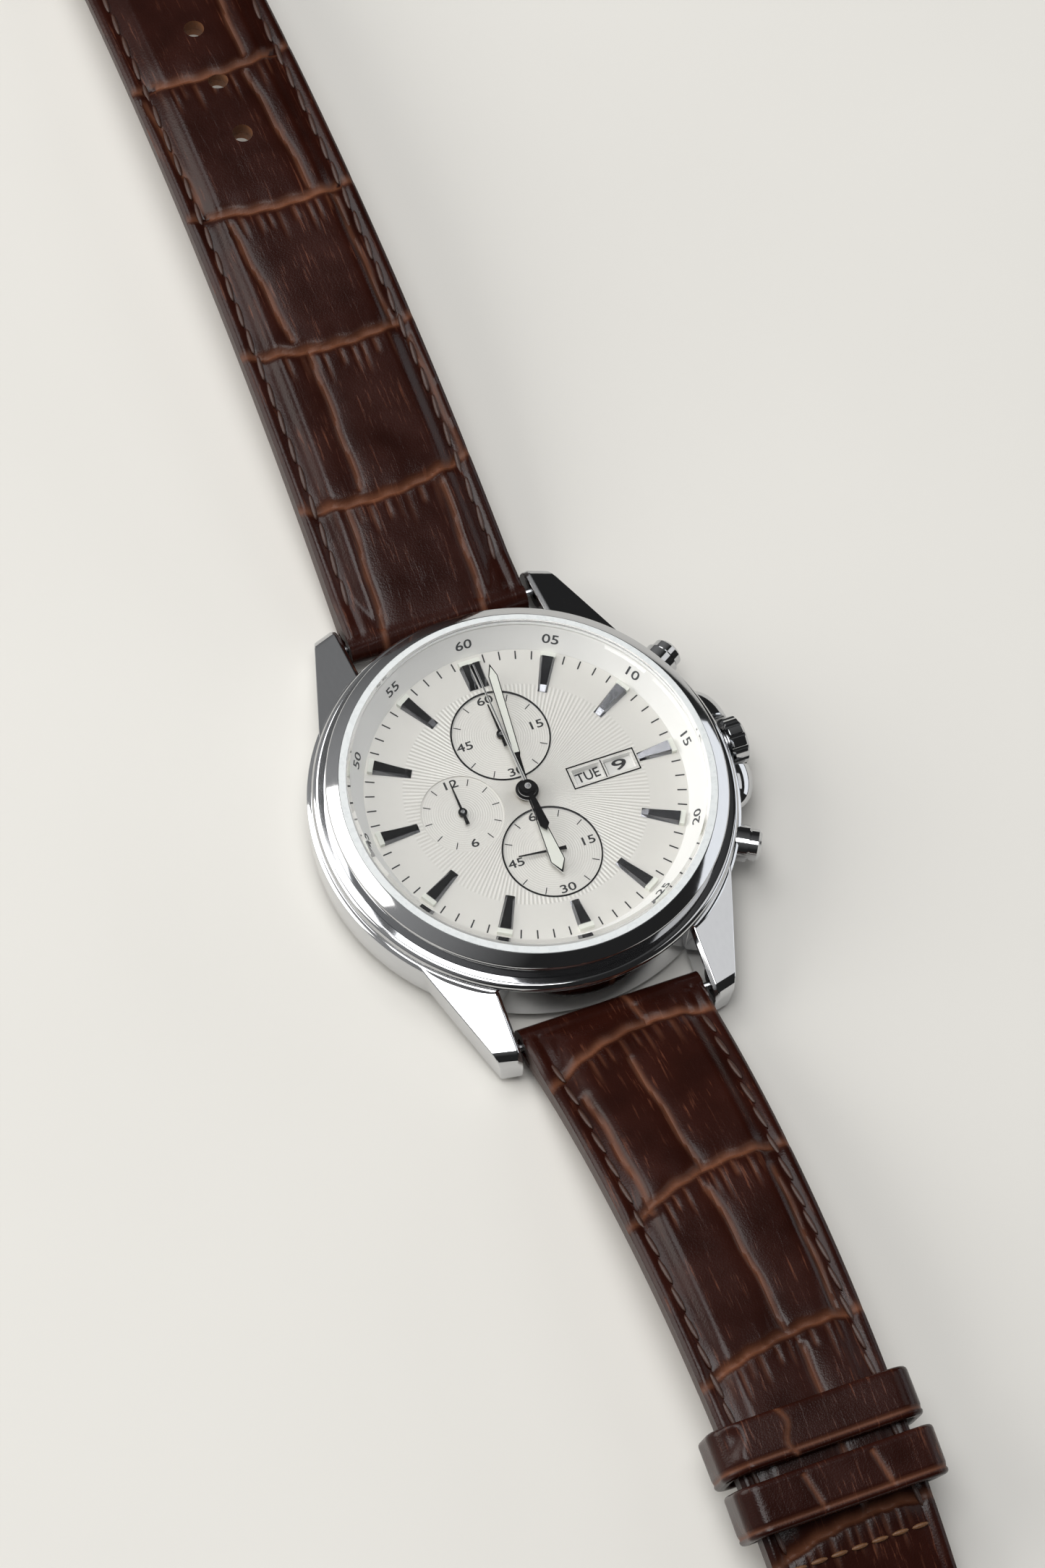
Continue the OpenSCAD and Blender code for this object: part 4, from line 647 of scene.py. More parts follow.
# %% Bevelled markers
MARKER_IN, MARKER_OUT, MARKER_FOOT, MARKER_HIGH = 11.55, 15.4, 7.82, 0.6
BEVEL, SIDE_HIGH, FALL, NOSE, NOSE_HIGH = 0.2, 0.04, 0.095, 0.7, MARKER_HIGH / 6
MARKER_WIDE, TWIN_WIDE, TWIN_AT = (0.95, 1.5), (0.95, 1.1), 0.575
TWIN_IN, TWIN_OUT, CUT_SHORT = MARKER_IN + 0.9, MARKER_OUT - 0.3, {3: 0.5, 6: 1.0}
# The steel is given a darker colour than steel has: a painted dark reflection of the room.
marker_steel_painted_dark = mottled("diamond_polished_steel_painted_dark", "#7c7d81", "#88898d", 0.2, (0.05, 0.1), 0.001,
                       Metallic=1.0)
markers = []


def points_of(obj):
    points = np.empty(len(obj.data.vertices) * 3)
    obj.data.vertices.foreach_get("co", points)
    return points.reshape(-1, 3)


def slab(name, columns, rows):
    """A grid two units wide, extruded one unit down, with its points as an array."""
    pick()
    bpy.ops.mesh.primitive_grid_add(x_subdivisions=columns, y_subdivisions=rows, size=2)
    obj = bpy.context.object
    obj.name = name
    edit_all()
    bpy.ops.mesh.extrude_region_move(TRANSFORM_OT_translate={"value": (0, 0, -1)})
    bpy.ops.object.mode_set(mode="OBJECT")
    return obj, points_of(obj)


def lay(obj, x, y, z):
    """Writes places in millimetres to a mesh, and turns its faces outwards."""
    obj.data.vertices.foreach_set("co", np.stack([x, y, z], axis=1).ravel() * MM)
    bpy.ops.object.mode_set(mode="EDIT")
    return tidy_mesh(obj)


def marker_bar(clock, shift, inner, outer, wide):
    obj, points = slab("marker", 3, 2)
    column = np.rint((points[:, 0] + 1) * 1.5).astype(int)
    row = np.rint(points[:, 1] + 1).astype(int)
    y = np.array([inner, inner + NOSE, outer])[row]
    half = (wide[0] + (wide[1] - wide[0]) * (y - inner) / (outer - inner)) / 2
    x = np.array([-1, -1, 1, 1])[column] * (half - BEVEL * np.array([0, 1, 1, 0])[column])
    rise = np.array([NOSE_HIGH, MARKER_HIGH - FALL * (outer - inner - NOSE), MARKER_HIGH])[row]
    top = np.where((column == 0) | (column == 3), SIDE_HIGH, rise)
    lay(obj, x + shift, y, MARKER_FOOT + np.where(points[:, 2] < -0.5, 0, top))
    obj.data.transform(Matrix.Rotation(-math.radians(clock), 4, "Z"))
    markers.append(obj)


for side in (-1, 1):
    marker_bar(0, side * TWIN_AT, TWIN_IN, TWIN_OUT, TWIN_WIDE)
for hour in range(1, 12):
    marker_bar(30 * hour, 0, MARKER_IN + CUT_SHORT.get(hour, 0), MARKER_OUT, MARKER_WIDE)
joined("bevelled_markers", markers, marker_steel_painted_dark, "case", "dark_metal", "hour_markers")

# %% [markdown]
# ## Print on the dial
# Minute marks, counter scales and numerals are pad-printed in black, and stand a hundredth of a
# millimetre proud. One mark is a thin block, half sunk in the dial and turned round a centre. Numerals
# are text made into a mesh, widened a little, as dial lettering is. The ink is half matt, and a grey
# one serves the flange.

# %% Marks and numerals
DIAL_Z, COUNTER_Z, INK, BOLDER = 7.8, 7.68, 0.02, 0.012
MINUTE_IN, MINUTE_OUT, MINUTE_WIDE = 15.1, 16.05, 0.15
TICKS, TICK_LONG, TICK_WIDE = 12, 0.75, 0.1
LABEL_SIZE, LABEL_WIDE, SIDE_LABEL_IN, END_LABEL_IN = 1.25, 1.4, 0.95, 0.55
QUARTERS = {0: "60", 3: "15", 6: "30", 9: "45"}
SCALES = [((0, COUNTER_AT), 4.75, QUARTERS), ((0, -COUNTER_AT), 4.75, QUARTERS),
          ((-COUNTER_AT, 0), 3.95, {0: "12", 6: "6"})]
ink = mottled("black_pad_print", "#141416", "#232326", 0.1, (0.35, 0.5), 0.002)
grey_ink = mottled("grey_pad_print", "#3a3b3e", "#48494c", 0.1, (0.35, 0.5), 0.002)
dial_marks, flange_marks, date_marks, day_marks = [], [], [], []


def block(group, size, place):
    """Adds a block of a size in millimetres to a group, moved by a matrix."""
    pick()
    bpy.ops.mesh.primitive_cube_add(size=1)
    obj = bpy.context.object
    obj.data.transform(place @ Matrix.Diagonal((*(length * MM for length in size), 1)))
    group.append(obj)


def mark(group, centre, clock, inner, outer, width, height):
    """A printed line from one radius to another, at an angle clockwise from twelve."""
    turn = Matrix.Rotation(-math.radians(clock), 4, "Z")
    spot = Matrix.Translation((0, (inner + outer) / 2 * MM, 0))
    middle = Matrix.Translation(Vector((*centre, height)) * MM)
    block(group, (width, outer - inner, INK), middle @ turn @ spot)


def numeral(group, words, size, wide, place):
    """Text laid flat, centred on its own middle, made a mesh and then moved by a matrix."""
    pick()
    bpy.ops.object.text_add()
    obj = bpy.context.object
    obj.data.body = words
    obj.data.size = size * MM
    obj.data.extrude = INK / 2 * MM
    obj.data.offset = BOLDER * size * MM
    obj.data.align_x = "CENTER"
    obj.data.align_y = "CENTER"
    obj.data.resolution_u = 4
    bpy.ops.object.convert(target="MESH")
    obj = bpy.context.object
    obj.data.transform(place @ Matrix.Diagonal((wide, 1, 1, 1)))
    group.append(obj)


for minute in range(60):
    if minute % 5:
        mark(dial_marks, (0, 0), 6 * minute, MINUTE_IN, MINUTE_OUT, MINUTE_WIDE, DIAL_Z)
for centre, edge, labels in SCALES:
    for i in range(TICKS):
        if i not in labels:
            mark(dial_marks, centre, i * 360 / TICKS, edge - TICK_LONG, edge, TICK_WIDE, COUNTER_Z)
    for i, words in labels.items():
        spot = math.radians(i * 360 / TICKS)
        reach = edge - (SIDE_LABEL_IN if i % 6 else END_LABEL_IN)
        x, y = centre[0] + reach * math.sin(spot), centre[1] + reach * math.cos(spot)
        at = Matrix.Translation(Vector((x, y, COUNTER_Z)) * MM)
        numeral(dial_marks, words, LABEL_SIZE, LABEL_WIDE, at)
joined("dial_print", dial_marks, ink, "case", "black")

# %% [markdown]
# The flange is the sloped white ring round the dial. Its numerals lie on the slope: those on the upper
# half have their tops outwards, and those on the lower half have them inwards, so that all read
# upright.

# %% Numerals on the flange
SLOPE_IN, SLOPE_OUT, SLOPE_CLEAR = (16.2, 7.82), (17.9, 9.8), 0.01
FLANGE_SIZE, FLANGE_WIDE = 1.35, 1.35
rise = math.atan2(SLOPE_OUT[1] - SLOPE_IN[1], SLOPE_OUT[0] - SLOPE_IN[0])
mid_radius = (SLOPE_IN[0] + SLOPE_OUT[0]) / 2 - SLOPE_CLEAR
mid_height = (SLOPE_IN[1] + SLOPE_OUT[1]) / 2 + SLOPE_CLEAR
for minute in range(5, 61, 5):
    clock = math.radians(6 * minute)
    outward = Vector((math.sin(clock), math.cos(clock), 0))
    along = Vector((math.cos(clock), -math.sin(clock), 0))
    upslope = outward * math.cos(rise) + Vector((0, 0, math.sin(rise)))
    if 20 <= minute <= 40:
        along, upslope = -along, -upslope
    basis = Matrix((along, upslope, along.cross(upslope))).transposed().to_4x4()
    at = Matrix.Translation((outward * mid_radius + Vector((0, 0, mid_height))) * MM)
    numeral(flange_marks, "%02d" % minute, FLANGE_SIZE, FLANGE_WIDE, at @ basis)
joined("flange_print", flange_marks, grey_ink, "case", "black")

# %% [markdown]
# Lume fills the hour and minute hands nearly to their edges and stands a little proud, as thick paint
# does, so that only a hair of the black frame shows. Each fill is its outline from above, extruded and
# turned to its hand.

# %% Fill the hands
HANDS = {"hour": (180.55, 8.62, 9.7, 3.4, 0.8, 1.5), "minute": (6.6, 8.98, 14.3, 4.0, 0.75, 0.95)}
FILL_RIM, FILL_TIP, POINT_LONG = 0.09, 0.35, 1.4
FILL_DEPTH, FILL_THICK = 0.1, 0.12
for hand, (clock, height, length, start_y, start_wide, wide) in HANDS.items():
    outline = [(start_wide / 2 - FILL_RIM, start_y + FILL_RIM), (wide / 2 - FILL_RIM, length - POINT_LONG)]
    outline += [(0, length - FILL_TIP)] + [(-x, y) for x, y in reversed(outline)]
    fill = tidy_mesh(plate(outline, height - FILL_DEPTH, FILL_THICK))
    fill.data.transform(Matrix.Rotation(-math.radians(clock), 4, "Z"))
    joined(hand + "_lume_fill", [fill], lume, hand + "_group", "lume", hand + "_hand_lume")

# %% [markdown]
# A thin black line frames the calendar, and the edges of its windows are pressed down in white slopes
# that lead to the discs. Each line is a small block. A slope is a cube without its top and bottom,
# drawn in below and given a wall.

# %% Frame and slopes of the calendar windows
FRAME_Z, FRAME_HIGH = 7.83, 0.06
FRAME_BARS = [(8.3, 1.19, 7.2, 0.12), (8.3, -1.19, 7.2, 0.12), (4.76, 0, 0.12, 2.5), (11.84, 0, 0.12, 2.5),
              (8.3, 0, 0.1, 2.0)]
WINDOW_HALF_X, WINDOW_HALF_Y, WINDOW_TOP = 1.5, 0.85, 7.82
SLOPE_RIGHT, SLOPE_BELOW, SLOPE_ABOVE, SLOPE_WALL = 0.06, 0.16, 0.1, 0.03
WINDOWS = [(6.6, 7.19, 0.3), (10.0, 7.42, 0.1)]
frame_bars, slopes = [], []
for x, y, wide, high in FRAME_BARS:
    block(frame_bars, (wide, high, FRAME_HIGH), Matrix.Translation(Vector((x, y, FRAME_Z)) * MM))
joined("calendar_lines", frame_bars, lacquer, "case", "black", "calendar_frame")
for window_x, low, left_in in WINDOWS:
    pick()
    bpy.ops.mesh.primitive_cube_add(size=2)
    slope = bpy.context.object
    for vertex in slope.data.vertices:
        above = vertex.co.z > 0
        x, y = math.copysign(WINDOW_HALF_X, vertex.co.x), math.copysign(WINDOW_HALF_Y, vertex.co.y)
        if not above:
            x += left_in if x < 0 else -SLOPE_RIGHT
            y += SLOPE_BELOW if y < 0 else -SLOPE_ABOVE
        vertex.co = Vector((window_x + x, y, WINDOW_TOP if above else low)) * MM
    choose(slope, "FACE", lambda face: abs(face.normal.z) > 0.9)
    bpy.ops.mesh.delete(type="ONLY_FACE")
    bpy.ops.mesh.select_mode(type="VERT")
    bpy.ops.object.mode_set(mode="OBJECT")
    wall = slope.modifiers.new("wall", "SOLIDIFY")
    wall.thickness, wall.offset = SLOPE_WALL * MM, 1
    bpy.ops.object.modifier_apply(modifier=wall.name)
    slopes.append(slope)
joined("window_slopes", slopes, flange_paint, "case", "dial_white")

# %% [markdown]
# The calendar has two printed discs under the dial. The date disc carries 1 to 31 round the watch's
# axis, upright at three o'clock. The day disc carries the seven days round its own stud, upright at its
# top, and it is lifted and widened a little, so that it fills its window. Each print rides on its disc,
# so that it turns with it.

# %% Print on the calendar discs
DATE_SHOWN, DATE_SIZE, DATE_X, DATE_Y = 9, 1.62, 10.12, 0.04
ONE_FIGURE_WIDE, TWO_FIGURES_WIDE = 2.1, 1.1
DAYS = ("TUE", "WED", "THU", "FRI", "SAT", "SUN", "MON")
DAY_SIZE, DAY_WIDE, DAY_TURN, DAY_REACH = 1.48, 0.95, 3.1, 4.77
DAY_STUD, DAY_LIFT, DAY_WIDER = Vector((7.0, -4.7, 0)) * MM, 0.12, 1.02
PRINT_CLEAR = 0.01 * MM
date_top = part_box("date_disc")[1].z + PRINT_CLEAR
lift = Vector((0, 0, DAY_LIFT * MM))
day_top = lift + Vector((0, 0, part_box("day_disc")[1].z + PRINT_CLEAR))
for number in range(1, 32):
    turn = Matrix.Rotation(math.radians((DATE_SHOWN - number) * 360 / 31), 4, "Z")
    wide = ONE_FIGURE_WIDE if number < 10 else TWO_FIGURES_WIDE
    spot = Matrix.Translation((DATE_X * MM, DATE_Y * MM, date_top))
    numeral(date_marks, str(number), DATE_SIZE, wide, turn @ spot)
for i, day in enumerate(DAYS):
    turn = Matrix.Rotation(math.radians(DAY_TURN + i * 360 / len(DAYS)), 4, "Z")
    stud, reach = Matrix.Translation(DAY_STUD + day_top), Matrix.Translation((0, DAY_REACH * MM, 0))
    numeral(day_marks, day, DAY_SIZE, DAY_WIDE, stud @ turn @ reach)
day_face = nodes["day_disc"].copy()
day_face.data = day_face.data.copy()
scene.collection.objects.link(day_face)
wider = Matrix.Diagonal((DAY_WIDER, DAY_WIDER, 1, 1))
day_face.data.transform(Matrix.Translation(DAY_STUD + lift) @ wider @ Matrix.Translation(-DAY_STUD))
joined("day_face", [day_face], disc_card, "day_group", "discs", "day_disc")
joined("date_print", date_marks, ink, "date_group", "black")
joined("day_print", day_marks, ink, "day_group", "black")

# %% [markdown]
# ## The shape of the strap
# Each strap piece is an arch: one circle carries its top and another its underside, each through three
# known points. The upper leather is wrapped round the spring bar, swells over a pad in the middle and
# lies flat along its stitched margins, which follow a third circle. All these curves are formulas of
# the distance from the watch's centre, which the leather, the lining, the stitches and the keepers
# share.

# %% Curves that the strap follows
def circle_through(a, b, c):
    d = 2 * (a[0] * (b[1] - c[1]) + b[0] * (c[1] - a[1]) + c[0] * (a[1] - b[1]))
    aa, bb, cc = (p[0] ** 2 + p[1] ** 2 for p in (a, b, c))
    y = (aa * (b[1] - c[1]) + bb * (c[1] - a[1]) + cc * (a[1] - b[1])) / d
    z = (aa * (c[0] - b[0]) + bb * (a[0] - c[0]) + cc * (b[0] - a[0])) / d
    return y, z, math.hypot(a[0] - y, a[1] - z)


def arch(circle, y):
    return circle[1] + np.sqrt(circle[2] ** 2 - (y - circle[0]) ** 2)


def ease(value, low, high):
    t = np.clip((value - low) / (high - low), 0, 1)
    return t * t * (3 - 2 * t)


def bell(gap, width):
    return np.exp(-(gap / width) ** 2)


BAR_Y, BAR_Z, ROLL_R, BORE_R = 23.5, 3.2, 1.75, 0.86
BUCKLE_Y, BUCKLE_Z, FOLD_R = 93.5, 1.7, 1.6
LINING, GLUE = 1.0, 0.04
STITCH_IN = 1.5
STRAP_WIDE, STRAP_TAPER = 19.2, 2.4
TIP_Y, TIP_START, TIP_R, TIP_X = 140.0, 127.4, 13.65, -5.25
tail = {"sign": 1, "taper": TIP_START, "pad_end": (119, 127)}
short = {"sign": -1, "taper": BUCKLE_Y, "pad_end": (80, 88)}
AT_BAR = {"top": 4.95, "margin": 4.25, "low": 1.45}
for strap, crest_y, end_y, heights in (
        (tail, 76, TIP_Y, {"top": (12.5, 1.9), "margin": (11.8, 1.9), "low": (9.9, 0.1)}),
        (short, 55, BUCKLE_Y, {"top": (12.1, 3.3), "margin": (11.4, 3.3), "low": (9.1, 0.1)})):
    for curve, (crest, end) in heights.items():
        strap[curve] = circle_through((BAR_Y, AT_BAR[curve]), (crest_y, crest), (end_y, end))


def half_width(strap, y):
    """Half the strap's width: it tapers towards its end, and the long piece ends in two arcs."""
    straight = (STRAP_WIDE - STRAP_TAPER * (y - BAR_Y) / (strap["taper"] - BAR_Y)) / 2
    if strap["sign"] < 0:
        return straight
    arc = TIP_X + np.sqrt(np.maximum(TIP_R ** 2 - np.maximum(y - TIP_START, 0) ** 2, 0.0))
    return np.where(y > TIP_START, arc, straight)


print("tail arch radius:", round(tail["top"][2], 1), "short arch radius:", round(short["top"][2], 1))

# %% [markdown]
# ## The embossed pattern
# The leather is pressed with the large square scales of a reptile's belly: bowed grooves across,
# straight ones along, and a comb of short wrinkles beside each bowed groove. A function gives how deep
# the press went at any place, and a mask of the groove's floor, where the finish has worn to tan.
# Grooves keep the places measured on the watch: a groove across has its place along the strap, its
# slant and its bow, and a groove along has its two places across and its two places along.

# %% Grooves across, along and the wrinkles between
CROSS = [(87.3, 0.02, 1.0), (70.2, -0.05, 1.2), (53.5, -0.04, 1.3), (36.9, 0.05, 1.3), (104.2, 0.03, 1.1),
         (120.9, -0.04, 1.0), (-27.0, 0.17, -1.8), (-45.0, 0.19, -1.5), (-63.7, 0.14, -0.9),
         (-82.0, 0.1, -1.0)]
ALONG = [(3.0, 4.4, 86.5, 70.6), (-8.0, -7.0, 86.5, 71.0), (-5.2, -3.8, 69.6, 54.6), (6.4, 6.8, 69.6, 53.8),
         (-2.6, -2.8, 53.6, 37.6), (8.0, 8.7, 52.5, 37.8), (-4.8, -5.9, 36.5, 20), (5.5, 4.9, 36.5, 20),
         (4.2, 3.6, 103.5, 88), (-5.0, -5.6, 120, 105), (4.8, 4.2, 120, 105), (-0.5, 0.3, 138, 122),
         (1.3, 2.6, -21, -26.6), (-1.2, -0.1, -29.6, -44.8), (-0.3, 0.8, -46.4, -63.2),
         (1.7, 1.9, -64.6, -81.5), (-6.9, -6.2, -32, -47.5), (6.6, 6.4, -46.2, -62.6)]
CROSS_DEEP, CROSS_WIDE, CROSS_SOFT_DEEP, CROSS_SOFT_WIDE, CROSS_WORN = 0.34, 0.5, 0.16, 1.7, 0.55
ALONG_DEEP, ALONG_WIDE, ALONG_SOFT_DEEP, ALONG_SOFT_WIDE, ALONG_WORN = 0.24, 0.26, 0.09, 1.1, 0.27
BOW_HALF, STEEP_SIDE, CROSS_WOBBLE, ALONG_WOBBLE, ALONG_PALE = 8.5, 1.7, 0.12, 0.1, 0.8
ALONG_START, ALONG_END = (-0.02, 0.04), (0.97, 1.02)
COMB_STEP, COMB_DEEP, COMB_WORN, COMB_SIDES = 1.35, 0.1, 0.45, (5.2, 7.0)
COMB_START, COMB_FADE, COMB_END, COMB_RAGGED = (0.6, 1.6), 3.2, 6.5, 2
PAD_RISE, BAR_SWELL = (1.9, 3.7), 5
CHANNEL_DEEP, CHANNEL_WIDE, EDGE_DROP, EDGE_WIDE = 0.16, 0.34, 0.4, 0.6
EDGE_FADE, EDGE_PRESS, EDGE_WORN = 2.6, 0.25, 0.6


def pressed(x, y):
    """Depth in millimetres and the worn-groove mask at places given as distances across and along."""
    depth, worn = np.zeros_like(x), np.zeros_like(x)
    inner = 1 - ease(np.abs(x), *COMB_SIDES)
    for along, slant, bow in CROSS:
        gap = y - (along + slant * x + bow * ((x / BOW_HALF) ** 2 - 0.3))
        gap = np.where(gap < 0, gap * STEEP_SIDE, gap) + CROSS_WOBBLE * np.sin(2.1 * x + along)
        depth += CROSS_DEEP * bell(gap, CROSS_WIDE) + CROSS_SOFT_DEEP * bell(gap, CROSS_SOFT_WIDE)
        worn = np.maximum(worn, bell(gap, CROSS_WORN))
        ragged_end = COMB_END + COMB_RAGGED * np.sin(1.9 * x + along)
        below = ease(-gap, *COMB_START) * (1 - ease(-gap, COMB_FADE, ragged_end))
        wavy = x + 0.25 * np.sin(1.3 * x + along)
        comb = np.maximum(np.sin(2 * math.pi * wavy / COMB_STEP), 0) ** 4
        depth += COMB_DEEP * below * comb * inner
        worn = np.maximum(worn, COMB_WORN * below * comb * inner)
    for x0, x1, y0, y1 in ALONG:
        share = (y - y0) / (y1 - y0)
        gap = x - (x0 + (x1 - x0) * share) + ALONG_WOBBLE * np.sin(0.9 * y)
        reach = ease(share, *ALONG_START) * (1 - ease(share, *ALONG_END))
        groove = ALONG_DEEP * bell(gap, ALONG_WIDE) + ALONG_SOFT_DEEP * bell(gap, ALONG_SOFT_WIDE)
        depth += reach * groove
        worn = np.maximum(worn, ALONG_PALE * reach * bell(gap, ALONG_WORN))
    return depth, worn


def strap_top(strap, x, y):
    """Height and wear of the leather's face: arch, pad, margins, channel, rounded edge and pattern."""
    edge = half_width(strap, y) - np.abs(x)
    pad = ease(edge, *PAD_RISE) * (1 - ease(y, *strap["pad_end"]))
    swell = np.maximum(pad, 1 - ease(y, BAR_Y, BAR_Y + BAR_SWELL))
    face = arch(strap["margin"], y) + swell * (arch(strap["top"], y) - arch(strap["margin"], y))
    channel = CHANNEL_DEEP * bell(edge - STITCH_IN, CHANNEL_WIDE)
    rounded = EDGE_DROP * (1 - np.clip(edge / EDGE_WIDE, 0, 1)) ** 2
    depth, worn = pressed(x, strap["sign"] * y)
    fade = ease(edge, 0.0, EDGE_FADE) * (1 - EDGE_PRESS) + EDGE_PRESS
    return face - channel - rounded - depth * fade, worn * (EDGE_WORN + (1 - EDGE_WORN) * fade)


print("grooves across:", len(CROSS), "grooves along:", len(ALONG))

# %% [markdown]
# ## Leather
# Calf leather, drum-dyed dark brown and waxed: a dark, slightly glossy face with a fine grain, faint
# lengthwise creases that are rubbed paler in patches, and a warm tone where the groove floors are worn.
# The worn mask comes from the mesh as an attribute, because it follows the pressed shape. The cut edges
# are sealed with a dull edge paint. The lining is smooth and mid-brown, waxed thread glints a little, and a
# punched hole bares raw, matt leather.

# %% Leather, edge paint, lining and thread
CLOUD, PORE, CREASE, CREASE_DRAWN = 5, 0.2, 0.3, (1, 0.07, 0.2)
leather, tree, shader = start("waxed_calf_leather", Specular_IOR_Level=0.2)
place = add(tree, "TexCoord").outputs["Object"]
worn = add(tree, "Attribute", attribute_name="worn").outputs["Fac"]
cloud = add(tree, "TexNoise", {"Vector": place, "Scale": 1 / (CLOUD * MM), "Detail": 5.0}).outputs[0]
grain = add(tree, "TexVoronoi", {"Vector": place, "Scale": 1 / (PORE * MM)}).outputs["Distance"]
drawn = add(tree, "Mapping", {"Vector": place, "Scale": CREASE_DRAWN}).outputs[0]
crease = add(tree, "TexNoise", {"Vector": drawn, "Scale": 1 / (CREASE * MM), "Detail": 4.0,
                                "Roughness": 0.6}).outputs[0]
crack = add(tree, "MapRange", {0: crease, 1: 0.58, 2: 0.68}).outputs[0]
rubbed = add(tree, "MapRange", {0: cloud, 1: 0.42, 2: 0.62, 3: 0.02, 4: 0.5}).outputs[0]
base = add(tree, "Mix", {0: cloud, 6: colour("#150705"), 7: colour("#31120a")}, data_type="RGBA").outputs[2]
pale = add(tree, "Math", {0: crack, 1: rubbed}, operation="MULTIPLY").outputs[0]
scuffed = add(tree, "Mix", {0: pale, 6: base, 7: colour("#6c412f")}, data_type="RGBA").outputs[2]
patchy = add(tree, "MapRange", {0: cloud, 1: 0.25, 2: 0.7, 3: 0.45, 4: 1.0}).outputs[0]
floor_share = add(tree, "Math", {0: worn, 1: patchy}, operation="MULTIPLY").outputs[0]
grooved = add(tree, "Mix", {0: floor_share, 6: scuffed, 7: colour("#6f4530")}, data_type="RGBA").outputs[2]
gloss = add(tree, "MapRange", {0: cloud, 1: 0.3, 2: 0.7, 3: 0.19, 4: 0.3}).outputs[0]
dull = add(tree, "Math", {0: worn, 1: 0.25}, operation="MULTIPLY").outputs[0]
rough = add(tree, "Math", {0: gloss, 1: dull}).outputs[0]
fine = add(tree, "Bump", {"Height": grain, "Distance": 0.03 * MM, "Strength": 0.25}).outputs[0]
cracked = add(tree, "Bump", {"Height": crack, "Distance": -0.03 * MM, "Strength": 0.15, "Normal": fine})
wire(tree, shader, Base_Color=grooved, Roughness=rough, Normal=cracked.outputs[0])
edge_paint = mottled("sealed_edge_paint", "#2e2422", "#43342f", 0.5, (0.42, 0.6), 0.03, (1, 0.4, 1))
lining_leather = mottled("smooth_lining_leather", "#5a3b29", "#6d4a35", 0.4, (0.5, 0.65), 0.03)
thread = mottled("waxed_brown_thread", "#25130e", "#44281b", 0.16, (0.4, 0.55), 0.06, (1, 0.5, 1))
tan_thread = mottled("waxed_tan_thread", "#4c301d", "#7c5534", 0.16, (0.4, 0.55), 0.06, (1, 0.5, 1))
raw_leather = mottled("cut_tan_leather", "#5f3a20", "#7d5030", 0.3, (0.6, 0.75), 0.04)
print("leather finishes:", leather.name, edge_paint.name, lining_leather.name, raw_leather.name)

# %% [markdown]
# ## The upper leather
# The upper skin goes under the spring bar, round it and along the arch; on the short piece it also goes
# round the buckle's bar. A grid is extruded to give it thickness, and each row of points is then laid
# along that way. The holes and the tongue's slot are punched through afterwards with a Boolean, as a
# punch does it.

# %% Lay a grid along the strap
HOLES = [79 + 7 * i for i in range(7)]
SLOT_HALF, SLOT_START = 1.3, 89.0
TURN_IN_Y, TURN_IN_THICK = 25.4, 0.9
FOLD_END_Y, FOLD_THICK = 91.75, 0.7
TUCK, LIFT_AT_BAR, LIFT_AT_BUCKLE = 0.3, 25.6, 91.4
LEATHER_COLUMNS, TAIL_ROWS, SHORT_ROWS = 72, 440, 280


def round_bar(y, z, outside, first, last):
    """Places round a bar, from one angle in degrees to another, on the outer and inner face of the skin."""
    turns = [(math.cos(a), math.sin(a)) for a in np.radians(np.linspace(first, last, 19))]
    return [(y + outside * c, z + outside * s, y + BORE_R * c, z + BORE_R * s) for c, s in turns]


def under_lining(low, thick, first, last, count):
    """Places along the underside, where the skin is turned in."""
    return [(y, arch(low, y), y, arch(low, y) + thick) for y in np.linspace(first, last, count)]


def way(strap, rows):
    """Places along the skin as (y, z) of its outer and inner face; the arch has no outer height yet."""
    low = strap["low"]
    route = under_lining(low, TURN_IN_THICK, TURN_IN_Y, BAR_Y + TUCK, 6)
    route += round_bar(BAR_Y, BAR_Z, ROLL_R, -90, -270)
    end = TIP_Y if strap["sign"] > 0 else BUCKLE_Y
    for y in np.linspace(BAR_Y, end, rows)[1:]:
        inner = arch(low, y) + LINING + GLUE
        inner += ease(-y, -LIFT_AT_BAR, -BAR_Y) * (BAR_Z + BORE_R - inner)
        if strap["sign"] < 0:
            inner += ease(y, LIFT_AT_BUCKLE, BUCKLE_Y) * (BUCKLE_Z + BORE_R - inner)
        route.append((y, None, y, inner))
    if strap["sign"] < 0:
        route += round_bar(BUCKLE_Y, BUCKLE_Z, FOLD_R, 90, -90)[1:]
        route += under_lining(low, FOLD_THICK, BUCKLE_Y - TUCK, FOLD_END_Y, 5)
    return route


def give_finishes(obj, points, face):
    """Gives a skin its face, edge paint on its long cut edges, and raw leather for what is punched."""
    for finish in (face, edge_paint, raw_leather):
        obj.data.materials.append(finish)
    corner = np.empty(len(obj.data.loops), dtype=np.int32)
    obj.data.loops.foreach_get("vertex_index", corner)
    walls = (np.abs(points[:, 0])[corner].reshape(-1, 4) > 0.999).all(axis=1)
    obj.data.polygons.foreach_set("material_index", walls.astype(np.int32))


def upper(name, strap, rows):
    route = way(strap, rows)
    obj, points = slab(name, LEATHER_COLUMNS, len(route) - 1)
    row = np.rint((points[:, 1] + 1) / 2 * (len(route) - 1)).astype(int)
    under = points[:, 2] < -0.5
    on_arch = np.array([place[1] is None for place in route])[row]
    outer_y = np.array([place[0] for place in route])[row]
    outer_z = np.array([place[1] or 0.0 for place in route])[row]
    inner = np.array([place[2:] for place in route])[row]
    y = np.where(under, inner[:, 0], outer_y)
    x = points[:, 0] * half_width(strap, outer_y)
    z = np.where(under, inner[:, 1], outer_z)
    z = np.where(on_arch & ~under, strap_top(strap, x, outer_y)[0], z)
    give_finishes(obj, points, leather)
    return lay(obj, x, strap["sign"] * y, z)


